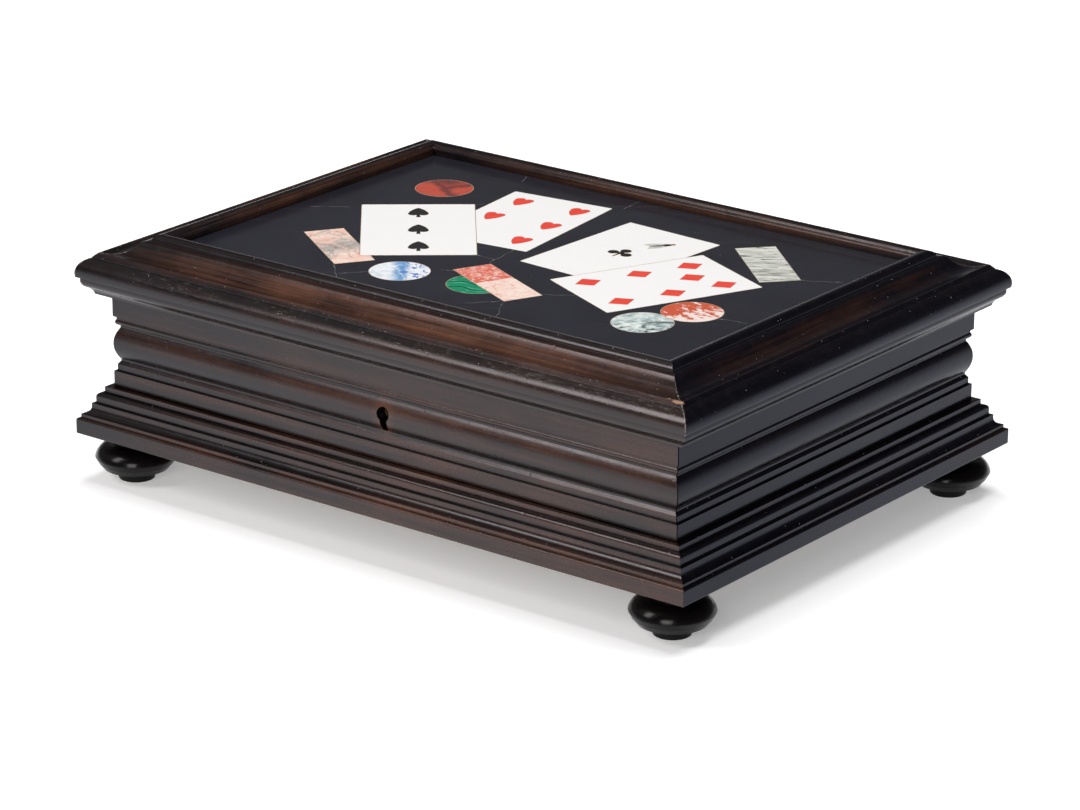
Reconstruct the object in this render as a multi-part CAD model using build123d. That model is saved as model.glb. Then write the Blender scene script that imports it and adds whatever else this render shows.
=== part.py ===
from build123d import *
import os
from math import cos, radians, sin, sqrt

# A low rectangular box for playing cards, of black-stained moulded hardwood on four turned bun feet.
# Its top is a slate slab inlaid with cards, counters and markers of coloured stone, in a moulded frame.
# The moulded front, between the cornice and the base, is a locking drawer with mitred ends.
# Millimetres. X runs along the long front, -Y is the front, +Z is up, and the floor is Z = 0 at the middle.
# Every moulding is drawn as (outward, up): outward 0 is the plinth's outer face, and inwards is negative.

# --- overall ------------------------------------------------------------------------------------
PLINTH_WIDTH = 370.0
PLINTH_DEPTH = 274.0
FOOT_HEIGHT = 24.0           # floor to the underside of the plinth

# --- base moulding, from the plinth up ------------------------------------------------------------
PLINTH_HEIGHT = 8.4
PLINTH_ARRIS = 1.0
BASE_FILLET_SETBACK = 1.8
BASE_FILLET_HEIGHT = 2.0
BASE_COVE_RADIUS = 3.8
COVE_FILLET_HEIGHT = 1.6
STEP_SETBACK = 1.6
STEP_HEIGHT = 3.2
STEP_ROUND = 2.2
BASE_BAND_SETBACK = 0.9
BASE_BAND_HEIGHT = 2.9
BASE_TIMBER = 32.0           # width of the base timbers in plan
LEDGE_WIDTH = 6.0            # ledge that carries the bottom board
LEDGE_HEIGHT = 10.0

# --- moulded walls, which the drawer front continues ------------------------------------------------
WALL_SETBACK = 13.7          # faces of band and frieze, behind the plinth's face
WALL_THICKNESS = 16.0
BAND_HEIGHT = 8.2
BEAD_SETBACK = 1.3           # flats of the beads, behind the band
LOWER_BEAD_HEIGHT = 3.4
LOWER_BEAD_SLOPE = 1.7
GROOVE_SETBACK = 2.6         # grooves above and below the torus, behind the band
LOWER_GROOVE_HEIGHT = 0.9
TORUS_HEIGHT = 16.2
TORUS_BULGE = 2.6
UPPER_GROOVE_HEIGHT = 1.4
UPPER_BEAD_HEIGHT = 2.9
UPPER_BEAD_BULGE = 1.2
UPPER_FLAT_HEIGHT = 1.7
FRIEZE_HEIGHT = 11.9

# --- top frame, from the cornice's lowest edge to the bead round the slab ----------------------------
CORNICE_SETBACK = 7.8
CAVETTO_HEIGHT = 3.4
CAVETTO_DEPTH = 2.4
CAVETTO_HOLLOW = 0.5
RETURN_HEIGHT = 3.2
RETURN_BULGE = 0.6
NECK_SETBACK = 2.8
NECK_HEIGHT = 2.3
OVOLO_SETBACK = 1.2
OVOLO_HEIGHT = 9.6
OVOLO_DEPTH = 5.5
OVOLO_BULGE = 2.3
RIM_STEP = 0.4
RIM_CHAMFER = 2.0
RIM_FLAT = 0.9
SCOOP_RISE = 4.7
SCOOP_HOLLOW = 2.8
LISTEL_WIDTH = 3.6           # near-flat fillet between the scoop and the bead
LISTEL_RISE = 0.6
LISTEL_BULGE = 0.25
BEAD_FRONT_WIDTH = 3.4       # bead round the slab, from its foot up to its crest
BEAD_FRONT_RISE = 3.0
BEAD_FRONT_BULGE = 0.8
BEAD_BACK_WIDTH = 3.1        # and from its crest down to the quirk
BEAD_BACK_DROP = 0.7
BEAD_BACK_BULGE = 0.17
BEAD_QUIRK_WIDTH = 0.5
BEAD_QUIRK_DROP = 1.1
SIGHT_ROUND_WIDTH = 1.2
SIGHT_ROUND_DROP = 1.6
SIGHT_BULGE = 0.3
SIGHT_SETBACK = 36.0         # edge of the slab's open face, behind the plinth's face
SLAB_DROP = 6.1              # slab's face below the bead's crest
LIP_OVERLAP = 4.0            # how far the bead covers the slab's edge
SLAB_THICKNESS = 8.0
SLAB_GAP = 0.3               # round the slab and round its backing board
BOARD_THICKNESS = 8.0
BOARD_OVERLAP = 11.0         # how far the backing board runs past the slab
STRIKE_RAIL_WIDTH = 22.0

# --- clearances of the drawer -----------------------------------------------------------------------
RUNNING_GAP = 0.4            # above and below the drawer front
SIDE_GAP = 0.5               # drawer's sides to the walls
MITRE_GAP = 0.3              # mitres of the drawer front to those of the walls
SEAT_GAP = 0.3               # drawer's sides above the runners, and its back before the stops

# --- carcase inside ---------------------------------------------------------------------------------
BOTTOM_THICKNESS = 8.0
RUNNER_WIDTH = 10.0
STOP_LENGTH = 30.0
STOP_WIDTH = 10.0
STOP_HEIGHT = 24.0
STOP_INSET = 55.3            # from the side walls' inner faces to the stops' middles

# --- feet -------------------------------------------------------------------------------------------
FOOT_INSET = 20.7            # foot's axis, from the plinth's two faces
FOOT_RADIUS = 20.5
FOOT_RIM_HEIGHT = 12.0
FOOT_RIM_EDGE = 0.8
DOME_HEIGHT = 6.6
DOME_BULGE = 2.2
FOOT_NECK_RADIUS = 11.0
RING_RADIUS = 18.8
RING_HEIGHT = 8.7
RING_STEP = 0.3
SOLE_RADIUS = 16.5
PAD_HEIGHT = 6.0
PAD_RADIUS = 9.1
PAD_ARRIS = 0.6
TENON_RADIUS = 5.0
TENON_LENGTH = 14.0
TENON_GAP = 0.1

# --- drawer -----------------------------------------------------------------------------------------
DRAWER_BOARD = 8.0           # thickness of the drawer's sides and back
DRAWER_SIDE_HEIGHT = 45.9
TAIL_REACH = 8.0             # how far the sides' tails reach into the drawer front
TAIL_COUNT = 3
TAIL_ROOT = 0.45             # width of a tail at its root and tip, as shares of the pitch
TAIL_TIP = 0.65
PANEL_THICKNESS = 4.0        # drawer's bottom panel
PANEL_RISE = 3.6             # from the sides' lower edge to the panel
GROOVE_DEPTH = 3.0
DIVIDER_THICKNESS = 5.0
DIVIDER_HEIGHT = 34.0
MIDDLE_BAY = 100.0           # clear width between the two long dividers

# --- lock -------------------------------------------------------------------------------------------
KEYHOLE_DROP = 24.8          # from the drawer front's top edge to the middle of the keyhole's head
KEYHOLE_RADIUS = 3.7
KEYHOLE_HEIGHT = 12.6
KEYHOLE_SLOT = 4.0
LOCK_WIDTH = 46.0
LOCK_LIFT = 0.4              # lock's plate above the drawer's bottom panel
LOCK_PLATE = 1.5
SELVEDGE_DEPTH = 12.0
CASE_MARGIN = 4.0            # lock plate beyond the case, at each side and below
CASE_DEPTH = 8.0
CASE_WALL = 1.0
CASE_GAP = 0.2
BOLT_WIDTH = 14.0
BOLT_THICKNESS = 4.0
BOLT_LENGTH = 19.0
BOLT_GAP = 0.4
DRILL_PIN_RADIUS = 1.1
DRILL_PIN_LENGTH = 7.4
STRIKE_WIDTH = 40.0
STRIKE_MARGIN = 1.0          # strike plate beyond the mortise, front and back
STRIKE_GAP = 1.0             # mortise round the bolt

# --- screws -----------------------------------------------------------------------------------------
SCREW_RADIUS = 1.5
SCREW_HEAD_RADIUS = 3.0
SCREW_HEAD_HEIGHT = 1.8
SCREW_LENGTH = 15.0
SCREW_EDGE = 5.0             # from a board's edge to its screws
SCREW_END = 40.0             # from a board's corner to the screws along its long edges
SCREW_ROW = 3                # along each long edge; each short edge has two
LOCK_SCREW_RADIUS = 0.8
LOCK_SCREW_HEAD_RADIUS = 1.6
LOCK_SCREW_HEAD_HEIGHT = 0.9
LOCK_SCREW_LENGTH = 7.0
LOCK_SCREW_INSET = 2.2
SCREW_GAP = 0.05

# --- stone inlay, let into the slab's face --------------------------------------------------------------
INLAY_DEPTH = 2.5
INLAY_JOINT = 0.15           # mastic line round every inlaid piece
CARD_LENGTH = 84.5
CARD_WIDTH = 57.0
CARD_CORNER = 0.8
PIP_ROW = 28.0               # spacing of the pips along a card
PIP_COLUMN = 16.4            # pips' columns, each side of a card's middle line
SEVENTH_PIP = 20.0
HEART_LENGTH = 12.6
HEART_WIDTH = 9.6
SPADE_LENGTH = 12.2          # without its stem
SPADE_WIDTH = 9.8
SPADE_STEM = 2.8             # beyond the lobes
SPADE_STEM_WIDTH = 1.9
CLUB_LEAF = 2.65
CLUB_SPREAD = 4.1            # each leaf's middle, from where the stem starts
CLUB_STEM = 6.2
CLUB_STEM_WIDTH = 1.2
DIAMOND_LENGTH = 14.0
DIAMOND_WIDTH = 11.5
INSECT_HEAD = 1.1            # the small insect resting on the ace, in inlaid stone
INSECT_THORAX = (2.3, 1.6)   # half length and half width, as are the next two
INSECT_ABDOMEN = (4.0, 1.2)
INSECT_WING = (5.6, 1.5)
INSECT_WING_SPREAD = 12.0
COUNTER_RADIUS = 14.9
MARKER_LENGTH = 54.5
MARKER_WIDTH = 20.3
# each inlaid piece's middle on the slab, and the turn of its long axis from +X
THREE_SPADES_AT = (-73.2, -5.7, 129.0)
SIX_HEARTS_AT = (-42.1, 37.0, 96.7)
ACE_CLUBS_AT = (28.5, 25.4, 87.0)
SEVEN_DIAMONDS_AT = (70.2, -2.6, 65.5)
RED_COUNTER_AT = (-107.2, 57.4, 0.0)
BLUE_COUNTER_AT = (-37.8, -63.8, 0.0)
GREEN_COUNTER_AT = (3.9, -56.5, 0.0)
GREY_COUNTER_AT = (100.0, -54.1, 0.0)
VEINED_COUNTER_AT = (109.1, -27.1, 0.0)
LEFT_MARKER_AT = (-86.5, -51.0, -34.0)
FRONT_MARKER_AT = (9.9, -48.5, -25.3)
RIGHT_MARKER_AT = (94.8, 55.4, -42.5)
INSECT_ON_ACE = (22.6, -7.4, -36.0)             # on the ace's own axes, its head towards +X

# --- heights and places that follow from these --------------------------------------------------------
HALF_WIDTH = PLINTH_WIDTH / 2
HALF_DEPTH = PLINTH_DEPTH / 2
BASE_TOP = (FOOT_HEIGHT + PLINTH_HEIGHT + BASE_FILLET_HEIGHT + BASE_COVE_RADIUS + COVE_FILLET_HEIGHT
            + STEP_HEIGHT + STEP_ROUND + BASE_BAND_HEIGHT)
BAND_TOP = BASE_TOP + BAND_HEIGHT
CORNICE_BOTTOM = (BAND_TOP + LOWER_BEAD_HEIGHT + LOWER_BEAD_SLOPE + LOWER_GROOVE_HEIGHT + TORUS_HEIGHT
                  + UPPER_GROOVE_HEIGHT + UPPER_BEAD_HEIGHT + UPPER_FLAT_HEIGHT + FRIEZE_HEIGHT)
RIM_TOP = (CORNICE_BOTTOM + CAVETTO_HEIGHT + RETURN_HEIGHT + NECK_HEIGHT + OVOLO_HEIGHT + RIM_STEP
           + RIM_CHAMFER)
CREST = RIM_TOP + SCOOP_RISE + LISTEL_RISE + BEAD_FRONT_RISE
SLAB_TOP = CREST - SLAB_DROP
SLAB_BOTTOM = SLAB_TOP - SLAB_THICKNESS
BOARD_BOTTOM = SLAB_BOTTOM - BOARD_THICKNESS
SLAB_RABBET = SIGHT_SETBACK - LIP_OVERLAP - SLAB_GAP
BOARD_RABBET = SLAB_RABBET - BOARD_OVERLAP
WALL_INNER = WALL_SETBACK + WALL_THICKNESS
LEDGE_TOP = FOOT_HEIGHT + LEDGE_HEIGHT
BOTTOM_TOP = LEDGE_TOP + BOTTOM_THICKNESS
BOARD_LEDGE = BASE_TIMBER - LEDGE_WIDTH

INSIDE_X = HALF_WIDTH - WALL_INNER              # inner faces of the side walls
INSIDE_Y = HALF_DEPTH - WALL_INNER              # inner faces of the back wall and of the drawer front
DRAWER_LOW = BASE_TOP + RUNNING_GAP
DRAWER_HIGH = DRAWER_LOW + DRAWER_SIDE_HEIGHT
FRONT_HIGH = CORNICE_BOTTOM - RUNNING_GAP
DRAWER_X = INSIDE_X - SIDE_GAP                  # outer faces of the drawer's sides
DRAWER_BACK = INSIDE_Y - STOP_WIDTH - SEAT_GAP  # rear face of the drawer
PANEL_LOW = DRAWER_LOW + PANEL_RISE
PANEL_HIGH = PANEL_LOW + PANEL_THICKNESS
BAY_X = DRAWER_X - DRAWER_BOARD
BAY_BACK = DRAWER_BACK - DRAWER_BOARD

KEYHOLE_Z = FRONT_HIGH - KEYHOLE_DROP
LOCK_LOW = PANEL_HIGH + LOCK_LIFT
PLATE_Y = -INSIDE_Y - LOCK_PLATE                # front face of the lock's plate
CASE_Y = PLATE_Y - CASE_DEPTH                   # front face of the lock's case
CASE_LOW = LOCK_LOW + CASE_MARGIN
SELVEDGE_LOW = FRONT_HIGH - LOCK_PLATE
BOLT_Y = PLATE_Y - BOLT_GAP - BOLT_THICKNESS / 2
BOLT_HIGH = FRONT_HIGH - BOLT_GAP / 2
QUARTER = 1 - 1 / sqrt(2)                       # bulge of a quarter circle, as a share of its radius
OVER = 5.0                                      # how far a cutting tool runs past what it cuts
CLOSED = 1e-6                                   # an outline's ends this near each other meet


# --- drawing helpers ------------------------------------------------------------------------------------
class Pen:
    """Draws a closed outline by moves, each from where the last one ended."""

    def __init__(self, u, v):
        self.start = self.here = (u, v)
        self.edges = []

    def to(self, u, v):
        self.edges.append(Line(self.here, (u, v)))
        self.here = (u, v)
        return self

    def go(self, du, dv):
        return self.to(self.here[0] + du, self.here[1] + dv)

    def bow(self, du, dv, bulge):
        """An arc to (du, dv) from here, bulging by this much to the right of its chord."""
        u, v = self.here
        chord = sqrt(du * du + dv * dv)
        middle = (u + du / 2 + bulge * dv / chord, v + dv / 2 - bulge * du / chord)
        self.edges.append(ThreePointArc(self.here, middle, (u + du, v + dv)))
        self.here = (u + du, v + dv)
        return self

    def face(self):
        if (Vector(*self.here) - Vector(*self.start)).length > CLOSED:
            self.to(*self.start)
        face = Face(Wire(self.edges))
        return face if face.normal_at().Z > 0 else -face


def block(x, y, z):
    """A box between the low and high ends given for each axis."""
    middle = Pos((x[0] + x[1]) / 2, (y[0] + y[1]) / 2, (z[0] + z[1]) / 2)
    return middle * Box(x[1] - x[0], y[1] - y[0], z[1] - z[0])


def moulding(profile, side, mitre_gap=0.0):
    """One straight run of a moulding along the named side, mitred at both ends."""
    turn = {"front": 0, "right": 90, "back": 180, "left": 270}[side]
    along, across = (HALF_WIDTH, HALF_DEPTH) if turn % 180 == 0 else (HALF_DEPTH, HALF_WIDTH)
    plane = Plane(origin=(along + OVER, -across, 0), x_dir=(0, -1, 0), z_dir=(-1, 0, 0))
    bar = extrude(plane * profile, amount=2 * (along + OVER), dir=(-1, 0, 0))
    outer = along + OVER - mitre_gap * sqrt(2)
    inner = outer - across
    wedge = Polygon((-outer, -across - OVER), (outer, -across - OVER), (inner, -OVER), (-inner, -OVER),
                    align=None)
    return Rot(0, 0, turn) * (bar & extrude(wedge, amount=CREST + OVER))


def screw(radius, head_radius, head_height, length, grow=0.0):
    """A countersunk screw with its head's face at the origin, pointing along +Z."""
    shank = Cylinder(radius + grow, length + grow, align=(Align.CENTER, Align.CENTER, Align.MIN))
    head = Cone(head_radius + grow, radius + grow, head_height, align=(Align.CENTER, Align.CENTER, Align.MIN))
    return shank + head


def board_screws(half_x, half_y, z, pointing, grow=0.0):
    """Screws round the edge of a board, heads flush with the face at z, pointing up (1) or down (-1)."""
    x, y = half_x - SCREW_EDGE, half_y - SCREW_EDGE
    reach = half_x - SCREW_END
    spots = [(reach * (2 * i / (SCREW_ROW - 1) - 1), side * y) for i in range(SCREW_ROW) for side in (-1, 1)]
    spots += [(side * x, end * (half_y - SCREW_END)) for side in (-1, 1) for end in (-1, 1)]
    one = screw(SCREW_RADIUS, SCREW_HEAD_RADIUS, SCREW_HEAD_HEIGHT, SCREW_LENGTH, grow)
    tilt = Rot(0, 0, 0) if pointing > 0 else Rot(180, 0, 0)
    return [Pos(px, py, z) * tilt * one for px, py in spots]


def cut(solid, tools):
    for tool in tools:
        solid = solid - tool
    return solid


# --- mouldings ------------------------------------------------------------------------------------------
def base_profile():
    pen = Pen(-BASE_TIMBER, FOOT_HEIGHT).to(-PLINTH_ARRIS, FOOT_HEIGHT)
    pen.bow(PLINTH_ARRIS, PLINTH_ARRIS, QUARTER * PLINTH_ARRIS)
    pen.go(0, PLINTH_HEIGHT - 2 * PLINTH_ARRIS)
    pen.bow(-PLINTH_ARRIS, PLINTH_ARRIS, QUARTER * PLINTH_ARRIS)
    pen.go(PLINTH_ARRIS - BASE_FILLET_SETBACK, 0).go(0, BASE_FILLET_HEIGHT)
    pen.bow(-BASE_COVE_RADIUS, BASE_COVE_RADIUS, -QUARTER * BASE_COVE_RADIUS)
    pen.go(0, COVE_FILLET_HEIGHT).go(-STEP_SETBACK, 0).go(0, STEP_HEIGHT)
    pen.bow(-STEP_ROUND, STEP_ROUND, QUARTER * STEP_ROUND)
    pen.go(-BASE_BAND_SETBACK, 0).go(0, BASE_BAND_HEIGHT)
    pen.to(-BOARD_LEDGE, BASE_TOP).to(-BOARD_LEDGE, LEDGE_TOP).to(-BASE_TIMBER, LEDGE_TOP)
    return pen.face()


def wall_profile(low, high):
    """Band, bead, torus, bead and frieze; low and high are the timber's own lower and upper edges."""
    pen = Pen(-WALL_INNER, low).to(-WALL_SETBACK, low).to(-WALL_SETBACK, BAND_TOP)
    pen.go(-BEAD_SETBACK, 0).go(0, LOWER_BEAD_HEIGHT)
    pen.go(BEAD_SETBACK - GROOVE_SETBACK, LOWER_BEAD_SLOPE).go(0, LOWER_GROOVE_HEIGHT)
    pen.bow(0, TORUS_HEIGHT, TORUS_BULGE).go(0, UPPER_GROOVE_HEIGHT)
    pen.bow(GROOVE_SETBACK - BEAD_SETBACK, UPPER_BEAD_HEIGHT, UPPER_BEAD_BULGE)
    pen.go(0, UPPER_FLAT_HEIGHT).go(BEAD_SETBACK, 0).to(-WALL_SETBACK, high).to(-WALL_INNER, high)
    return pen.face()


def top_profile():
    bead_foot = SIGHT_SETBACK - SIGHT_ROUND_WIDTH - BEAD_QUIRK_WIDTH - BEAD_BACK_WIDTH - BEAD_FRONT_WIDTH
    rim_inner = OVOLO_SETBACK + OVOLO_DEPTH + RIM_STEP + RIM_CHAMFER + RIM_FLAT
    pen = Pen(-BOARD_RABBET, CORNICE_BOTTOM).to(-CORNICE_SETBACK, CORNICE_BOTTOM)
    pen.bow(CAVETTO_DEPTH, CAVETTO_HEIGHT, -CAVETTO_HOLLOW)
    pen.bow(CORNICE_SETBACK - CAVETTO_DEPTH - NECK_SETBACK, RETURN_HEIGHT, RETURN_BULGE)
    pen.go(0, NECK_HEIGHT).go(NECK_SETBACK - OVOLO_SETBACK, 0)
    pen.bow(-OVOLO_DEPTH, OVOLO_HEIGHT, OVOLO_BULGE)
    pen.go(-RIM_STEP, 0).go(0, RIM_STEP).go(-RIM_CHAMFER, RIM_CHAMFER).go(-RIM_FLAT, 0)
    pen.bow(rim_inner + LISTEL_WIDTH - bead_foot, SCOOP_RISE, -SCOOP_HOLLOW)
    pen.bow(-LISTEL_WIDTH, LISTEL_RISE, LISTEL_BULGE)
    pen.bow(-BEAD_FRONT_WIDTH, BEAD_FRONT_RISE, BEAD_FRONT_BULGE)
    pen.bow(-BEAD_BACK_WIDTH, -BEAD_BACK_DROP, BEAD_BACK_BULGE)
    pen.go(-BEAD_QUIRK_WIDTH, -BEAD_QUIRK_DROP)
    pen.bow(-SIGHT_ROUND_WIDTH, -SIGHT_ROUND_DROP, SIGHT_BULGE)
    pen.to(-SIGHT_SETBACK, SLAB_TOP).to(-SLAB_RABBET, SLAB_TOP).to(-SLAB_RABBET, SLAB_BOTTOM)
    pen.to(-BOARD_RABBET, SLAB_BOTTOM)
    return pen.face()


def foot_spots():
    x, y = HALF_WIDTH - FOOT_INSET, HALF_DEPTH - FOOT_INSET
    return {"front_left": (-x, -y), "front_right": (x, -y), "back_left": (-x, y), "back_right": (x, y)}


def base_moulding(side):
    sockets = [Pos(x, y, FOOT_HEIGHT - OVER) * Cylinder(
        TENON_RADIUS + TENON_GAP, OVER + TENON_LENGTH + TENON_GAP,
        align=(Align.CENTER, Align.CENTER, Align.MIN)) for x, y in foot_spots().values()]
    holes = board_screws(*bottom_half(), BOTTOM_TOP, -1, SCREW_GAP)
    return cut(moulding(base_profile(), side), sockets + holes)


def top_moulding(side):
    holes = board_screws(*board_half(), BOARD_BOTTOM, 1, SCREW_GAP)
    return cut(moulding(top_profile(), side), holes)


def foot():
    """A flattened bun with a sharp rim, a bevelled underside, a narrow pad and a tenon."""
    dome = FOOT_RADIUS - FOOT_NECK_RADIUS
    pen = Pen(0, 0).to(PAD_RADIUS - PAD_ARRIS, 0)
    pen.bow(PAD_ARRIS, PAD_ARRIS, QUARTER * PAD_ARRIS).to(PAD_RADIUS, PAD_HEIGHT)
    pen.to(SOLE_RADIUS, PAD_HEIGHT).to(RING_RADIUS - RING_STEP, RING_HEIGHT).to(RING_RADIUS, RING_HEIGHT)
    pen.to(FOOT_RADIUS - RING_STEP, FOOT_RIM_HEIGHT - FOOT_RIM_EDGE).to(FOOT_RADIUS, FOOT_RIM_HEIGHT)
    pen.bow(-dome, DOME_HEIGHT, DOME_BULGE).to(FOOT_NECK_RADIUS, FOOT_HEIGHT)
    pen.to(TENON_RADIUS, FOOT_HEIGHT).to(TENON_RADIUS, FOOT_HEIGHT + TENON_LENGTH)
    pen.to(0, FOOT_HEIGHT + TENON_LENGTH)
    return revolve(Plane.XZ * pen.face(), axis=Axis.Z)


# --- carcase --------------------------------------------------------------------------------------------
def bottom_half():
    inset = BOARD_LEDGE + SLAB_GAP
    return HALF_WIDTH - inset, HALF_DEPTH - inset


def board_half():
    inset = BOARD_RABBET + SLAB_GAP
    return HALF_WIDTH - inset, HALF_DEPTH - inset


def bottom_board():
    x, y = bottom_half()
    board = block((-x, x), (-y, y), (LEDGE_TOP, BOTTOM_TOP))
    return cut(board, board_screws(x, y, BOTTOM_TOP, -1, SCREW_GAP))


def top_board():
    x, y = board_half()
    board = block((-x, x), (-y, y), (BOARD_BOTTOM, SLAB_BOTTOM))
    return cut(board, board_screws(x, y, BOARD_BOTTOM, 1, SCREW_GAP))


def runner(side):
    ends = sorted((side * INSIDE_X, side * (INSIDE_X - RUNNER_WIDTH)))
    front = -(HALF_DEPTH - BOARD_LEDGE)
    return block(ends, (front, INSIDE_Y - STOP_WIDTH), (BOTTOM_TOP, DRAWER_LOW - SEAT_GAP))


def drawer_stops():
    middle, half = INSIDE_X - STOP_INSET, STOP_LENGTH / 2
    return Compound([block((x - half, x + half), (INSIDE_Y - STOP_WIDTH, INSIDE_Y),
                           (BOTTOM_TOP, BOTTOM_TOP + STOP_HEIGHT))
                     for x in (-middle, middle)])


def bolt_slot(gap, z):
    half_x, half_y = BOLT_WIDTH / 2 + gap, BOLT_THICKNESS / 2 + gap
    return block((-half_x, half_x), (BOLT_Y - half_y, BOLT_Y + half_y), z)


def strike_plate_blank():
    half_y = BOLT_THICKNESS / 2 + STRIKE_GAP + STRIKE_MARGIN
    return block((-STRIKE_WIDTH / 2, STRIKE_WIDTH / 2), (BOLT_Y - half_y, BOLT_Y + half_y),
                 (CORNICE_BOTTOM, CORNICE_BOTTOM + LOCK_PLATE))


def strike_plate():
    return strike_plate_blank() - bolt_slot(STRIKE_GAP, (CORNICE_BOTTOM - OVER, CORNICE_BOTTOM + OVER))


def strike_rail():
    x = HALF_WIDTH - BOARD_RABBET
    front = -(HALF_DEPTH - BOARD_RABBET)
    rail = block((-x, x), (front, front + STRIKE_RAIL_WIDTH), (CORNICE_BOTTOM, BOARD_BOTTOM))
    return rail - strike_plate_blank() - bolt_slot(STRIKE_GAP, (CORNICE_BOTTOM - OVER, BOARD_BOTTOM + OVER))


# --- drawer ---------------------------------------------------------------------------------------------
def tails(low, high, root_y, tip_y):
    """Dovetails seen from the side, between two heights, from their roots to their wider tips."""
    pitch = (high - low) / TAIL_COUNT
    shapes = []
    for i in range(TAIL_COUNT):
        z = low + pitch * (i + 0.5)
        root, tip = pitch * TAIL_ROOT / 2, pitch * TAIL_TIP / 2
        shapes.append(Polygon((root_y, z - root), (root_y, z + root), (tip_y, z + tip), (tip_y, z - tip),
                              align=None))
    return shapes


def tail_solids(side):
    """The tails of one drawer side, at the front and at the back, through the side's thickness."""
    plane = Plane(origin=(side * BAY_X, 0, 0), x_dir=(0, 1, 0), z_dir=(1, 0, 0))
    shapes = tails(DRAWER_LOW, DRAWER_HIGH, -INSIDE_Y, -INSIDE_Y - TAIL_REACH)
    shapes += tails(PANEL_HIGH, DRAWER_HIGH, BAY_BACK, DRAWER_BACK)
    return [extrude(plane * shape, amount=DRAWER_BOARD, dir=(side, 0, 0)) for shape in shapes]


def panel_groove():
    """The room that the bottom panel takes in the sides and the front."""
    x = BAY_X + GROOVE_DEPTH
    return block((-x, x), (-INSIDE_Y - GROOVE_DEPTH, DRAWER_BACK + OVER), (PANEL_LOW, PANEL_HIGH))


def drawer_side(side):
    ends = sorted((side * BAY_X, side * DRAWER_X))
    board = block(ends, (-INSIDE_Y, BAY_BACK), (DRAWER_LOW, DRAWER_HIGH))
    board += block(ends, (BAY_BACK, DRAWER_BACK), (DRAWER_LOW, PANEL_HIGH))
    for tail in tail_solids(side):
        board += tail
    return board - panel_groove()


def drawer_back():
    board = block((-DRAWER_X, DRAWER_X), (BAY_BACK, DRAWER_BACK), (PANEL_HIGH, DRAWER_HIGH))
    return cut(board, tail_solids(-1) + tail_solids(1))


def drawer_panel():
    x = BAY_X + GROOVE_DEPTH
    return block((-x, x), (-INSIDE_Y - GROOVE_DEPTH, DRAWER_BACK), (PANEL_LOW, PANEL_HIGH))


def keyhole(y):
    """A round head over a narrow slot with a rounded foot, cut through between two depths."""
    slot_foot = KEYHOLE_RADIUS - KEYHOLE_HEIGHT + KEYHOLE_SLOT / 2
    shape = Circle(KEYHOLE_RADIUS) + Pos(0, slot_foot / 2) * Rectangle(KEYHOLE_SLOT, -slot_foot)
    shape += Pos(0, slot_foot) * Circle(KEYHOLE_SLOT / 2)
    plane = Plane(origin=(0, y[1], KEYHOLE_Z), x_dir=(1, 0, 0), z_dir=(0, -1, 0))
    return extrude(plane * shape, amount=y[1] - y[0])


def lock_screw_solids(grow=0.0):
    x = LOCK_WIDTH / 2 - LOCK_SCREW_INSET
    low = LOCK_LOW + LOCK_SCREW_INSET
    high = SELVEDGE_LOW - LOCK_SCREW_INSET
    one = screw(LOCK_SCREW_RADIUS, LOCK_SCREW_HEAD_RADIUS, LOCK_SCREW_HEAD_HEIGHT, LOCK_SCREW_LENGTH, grow)
    return [Pos(px, -INSIDE_Y, pz) * Rot(90, 0, 0) * one for px in (-x, x) for pz in (low, high)]


def lock_blank():
    """The L of plate and selvedge, before its slot, pin hole and screw holes."""
    x = LOCK_WIDTH / 2
    plate = block((-x, x), (PLATE_Y, -INSIDE_Y), (LOCK_LOW, FRONT_HIGH))
    return plate + block((-x, x), (-INSIDE_Y - SELVEDGE_DEPTH, -INSIDE_Y), (SELVEDGE_LOW, FRONT_HIGH))


def lock_plate():
    slot = bolt_slot(BOLT_GAP, (SELVEDGE_LOW - OVER, FRONT_HIGH + OVER))
    return cut(lock_blank() - slot, lock_screw_solids(SCREW_GAP))


def lock_case():
    x = LOCK_WIDTH / 2 - CASE_MARGIN
    shell = block((-x, x), (CASE_Y, PLATE_Y), (CASE_LOW, SELVEDGE_LOW))
    room = block((CASE_WALL - x, x - CASE_WALL), (CASE_Y + CASE_WALL, PLATE_Y + OVER),
                 (CASE_LOW + CASE_WALL, SELVEDGE_LOW + OVER))
    return shell - room - keyhole((CASE_Y - OVER, CASE_Y + CASE_WALL))


def drill_pin():
    pin = Cylinder(DRILL_PIN_RADIUS, DRILL_PIN_LENGTH, align=(Align.CENTER, Align.CENTER, Align.MIN))
    return Pos(0, PLATE_Y, KEYHOLE_Z) * Rot(90, 0, 0) * pin


def lock_bolt():
    half_x, half_y = BOLT_WIDTH / 2, BOLT_THICKNESS / 2
    return block((-half_x, half_x), (BOLT_Y - half_y, BOLT_Y + half_y),
                 (BOLT_HIGH - BOLT_LENGTH, BOLT_HIGH))


def drawer_front():
    front = moulding(wall_profile(DRAWER_LOW, FRONT_HIGH), "front", MITRE_GAP)
    x = LOCK_WIDTH / 2 - CASE_MARGIN + CASE_GAP
    mortise = block((-x, x), (CASE_Y - CASE_GAP, -INSIDE_Y + OVER), (CASE_LOW - CASE_GAP, SELVEDGE_LOW))
    front = front - lock_blank() - mortise - keyhole((-HALF_DEPTH, CASE_Y))
    return cut(front - panel_groove(), tail_solids(-1) + tail_solids(1) + lock_screw_solids(SCREW_GAP))


def long_divider(side):
    ends = sorted((side * MIDDLE_BAY / 2, side * (MIDDLE_BAY / 2 + DIVIDER_THICKNESS)))
    return block(ends, (-INSIDE_Y, BAY_BACK), (PANEL_HIGH, PANEL_HIGH + DIVIDER_HEIGHT))


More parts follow.
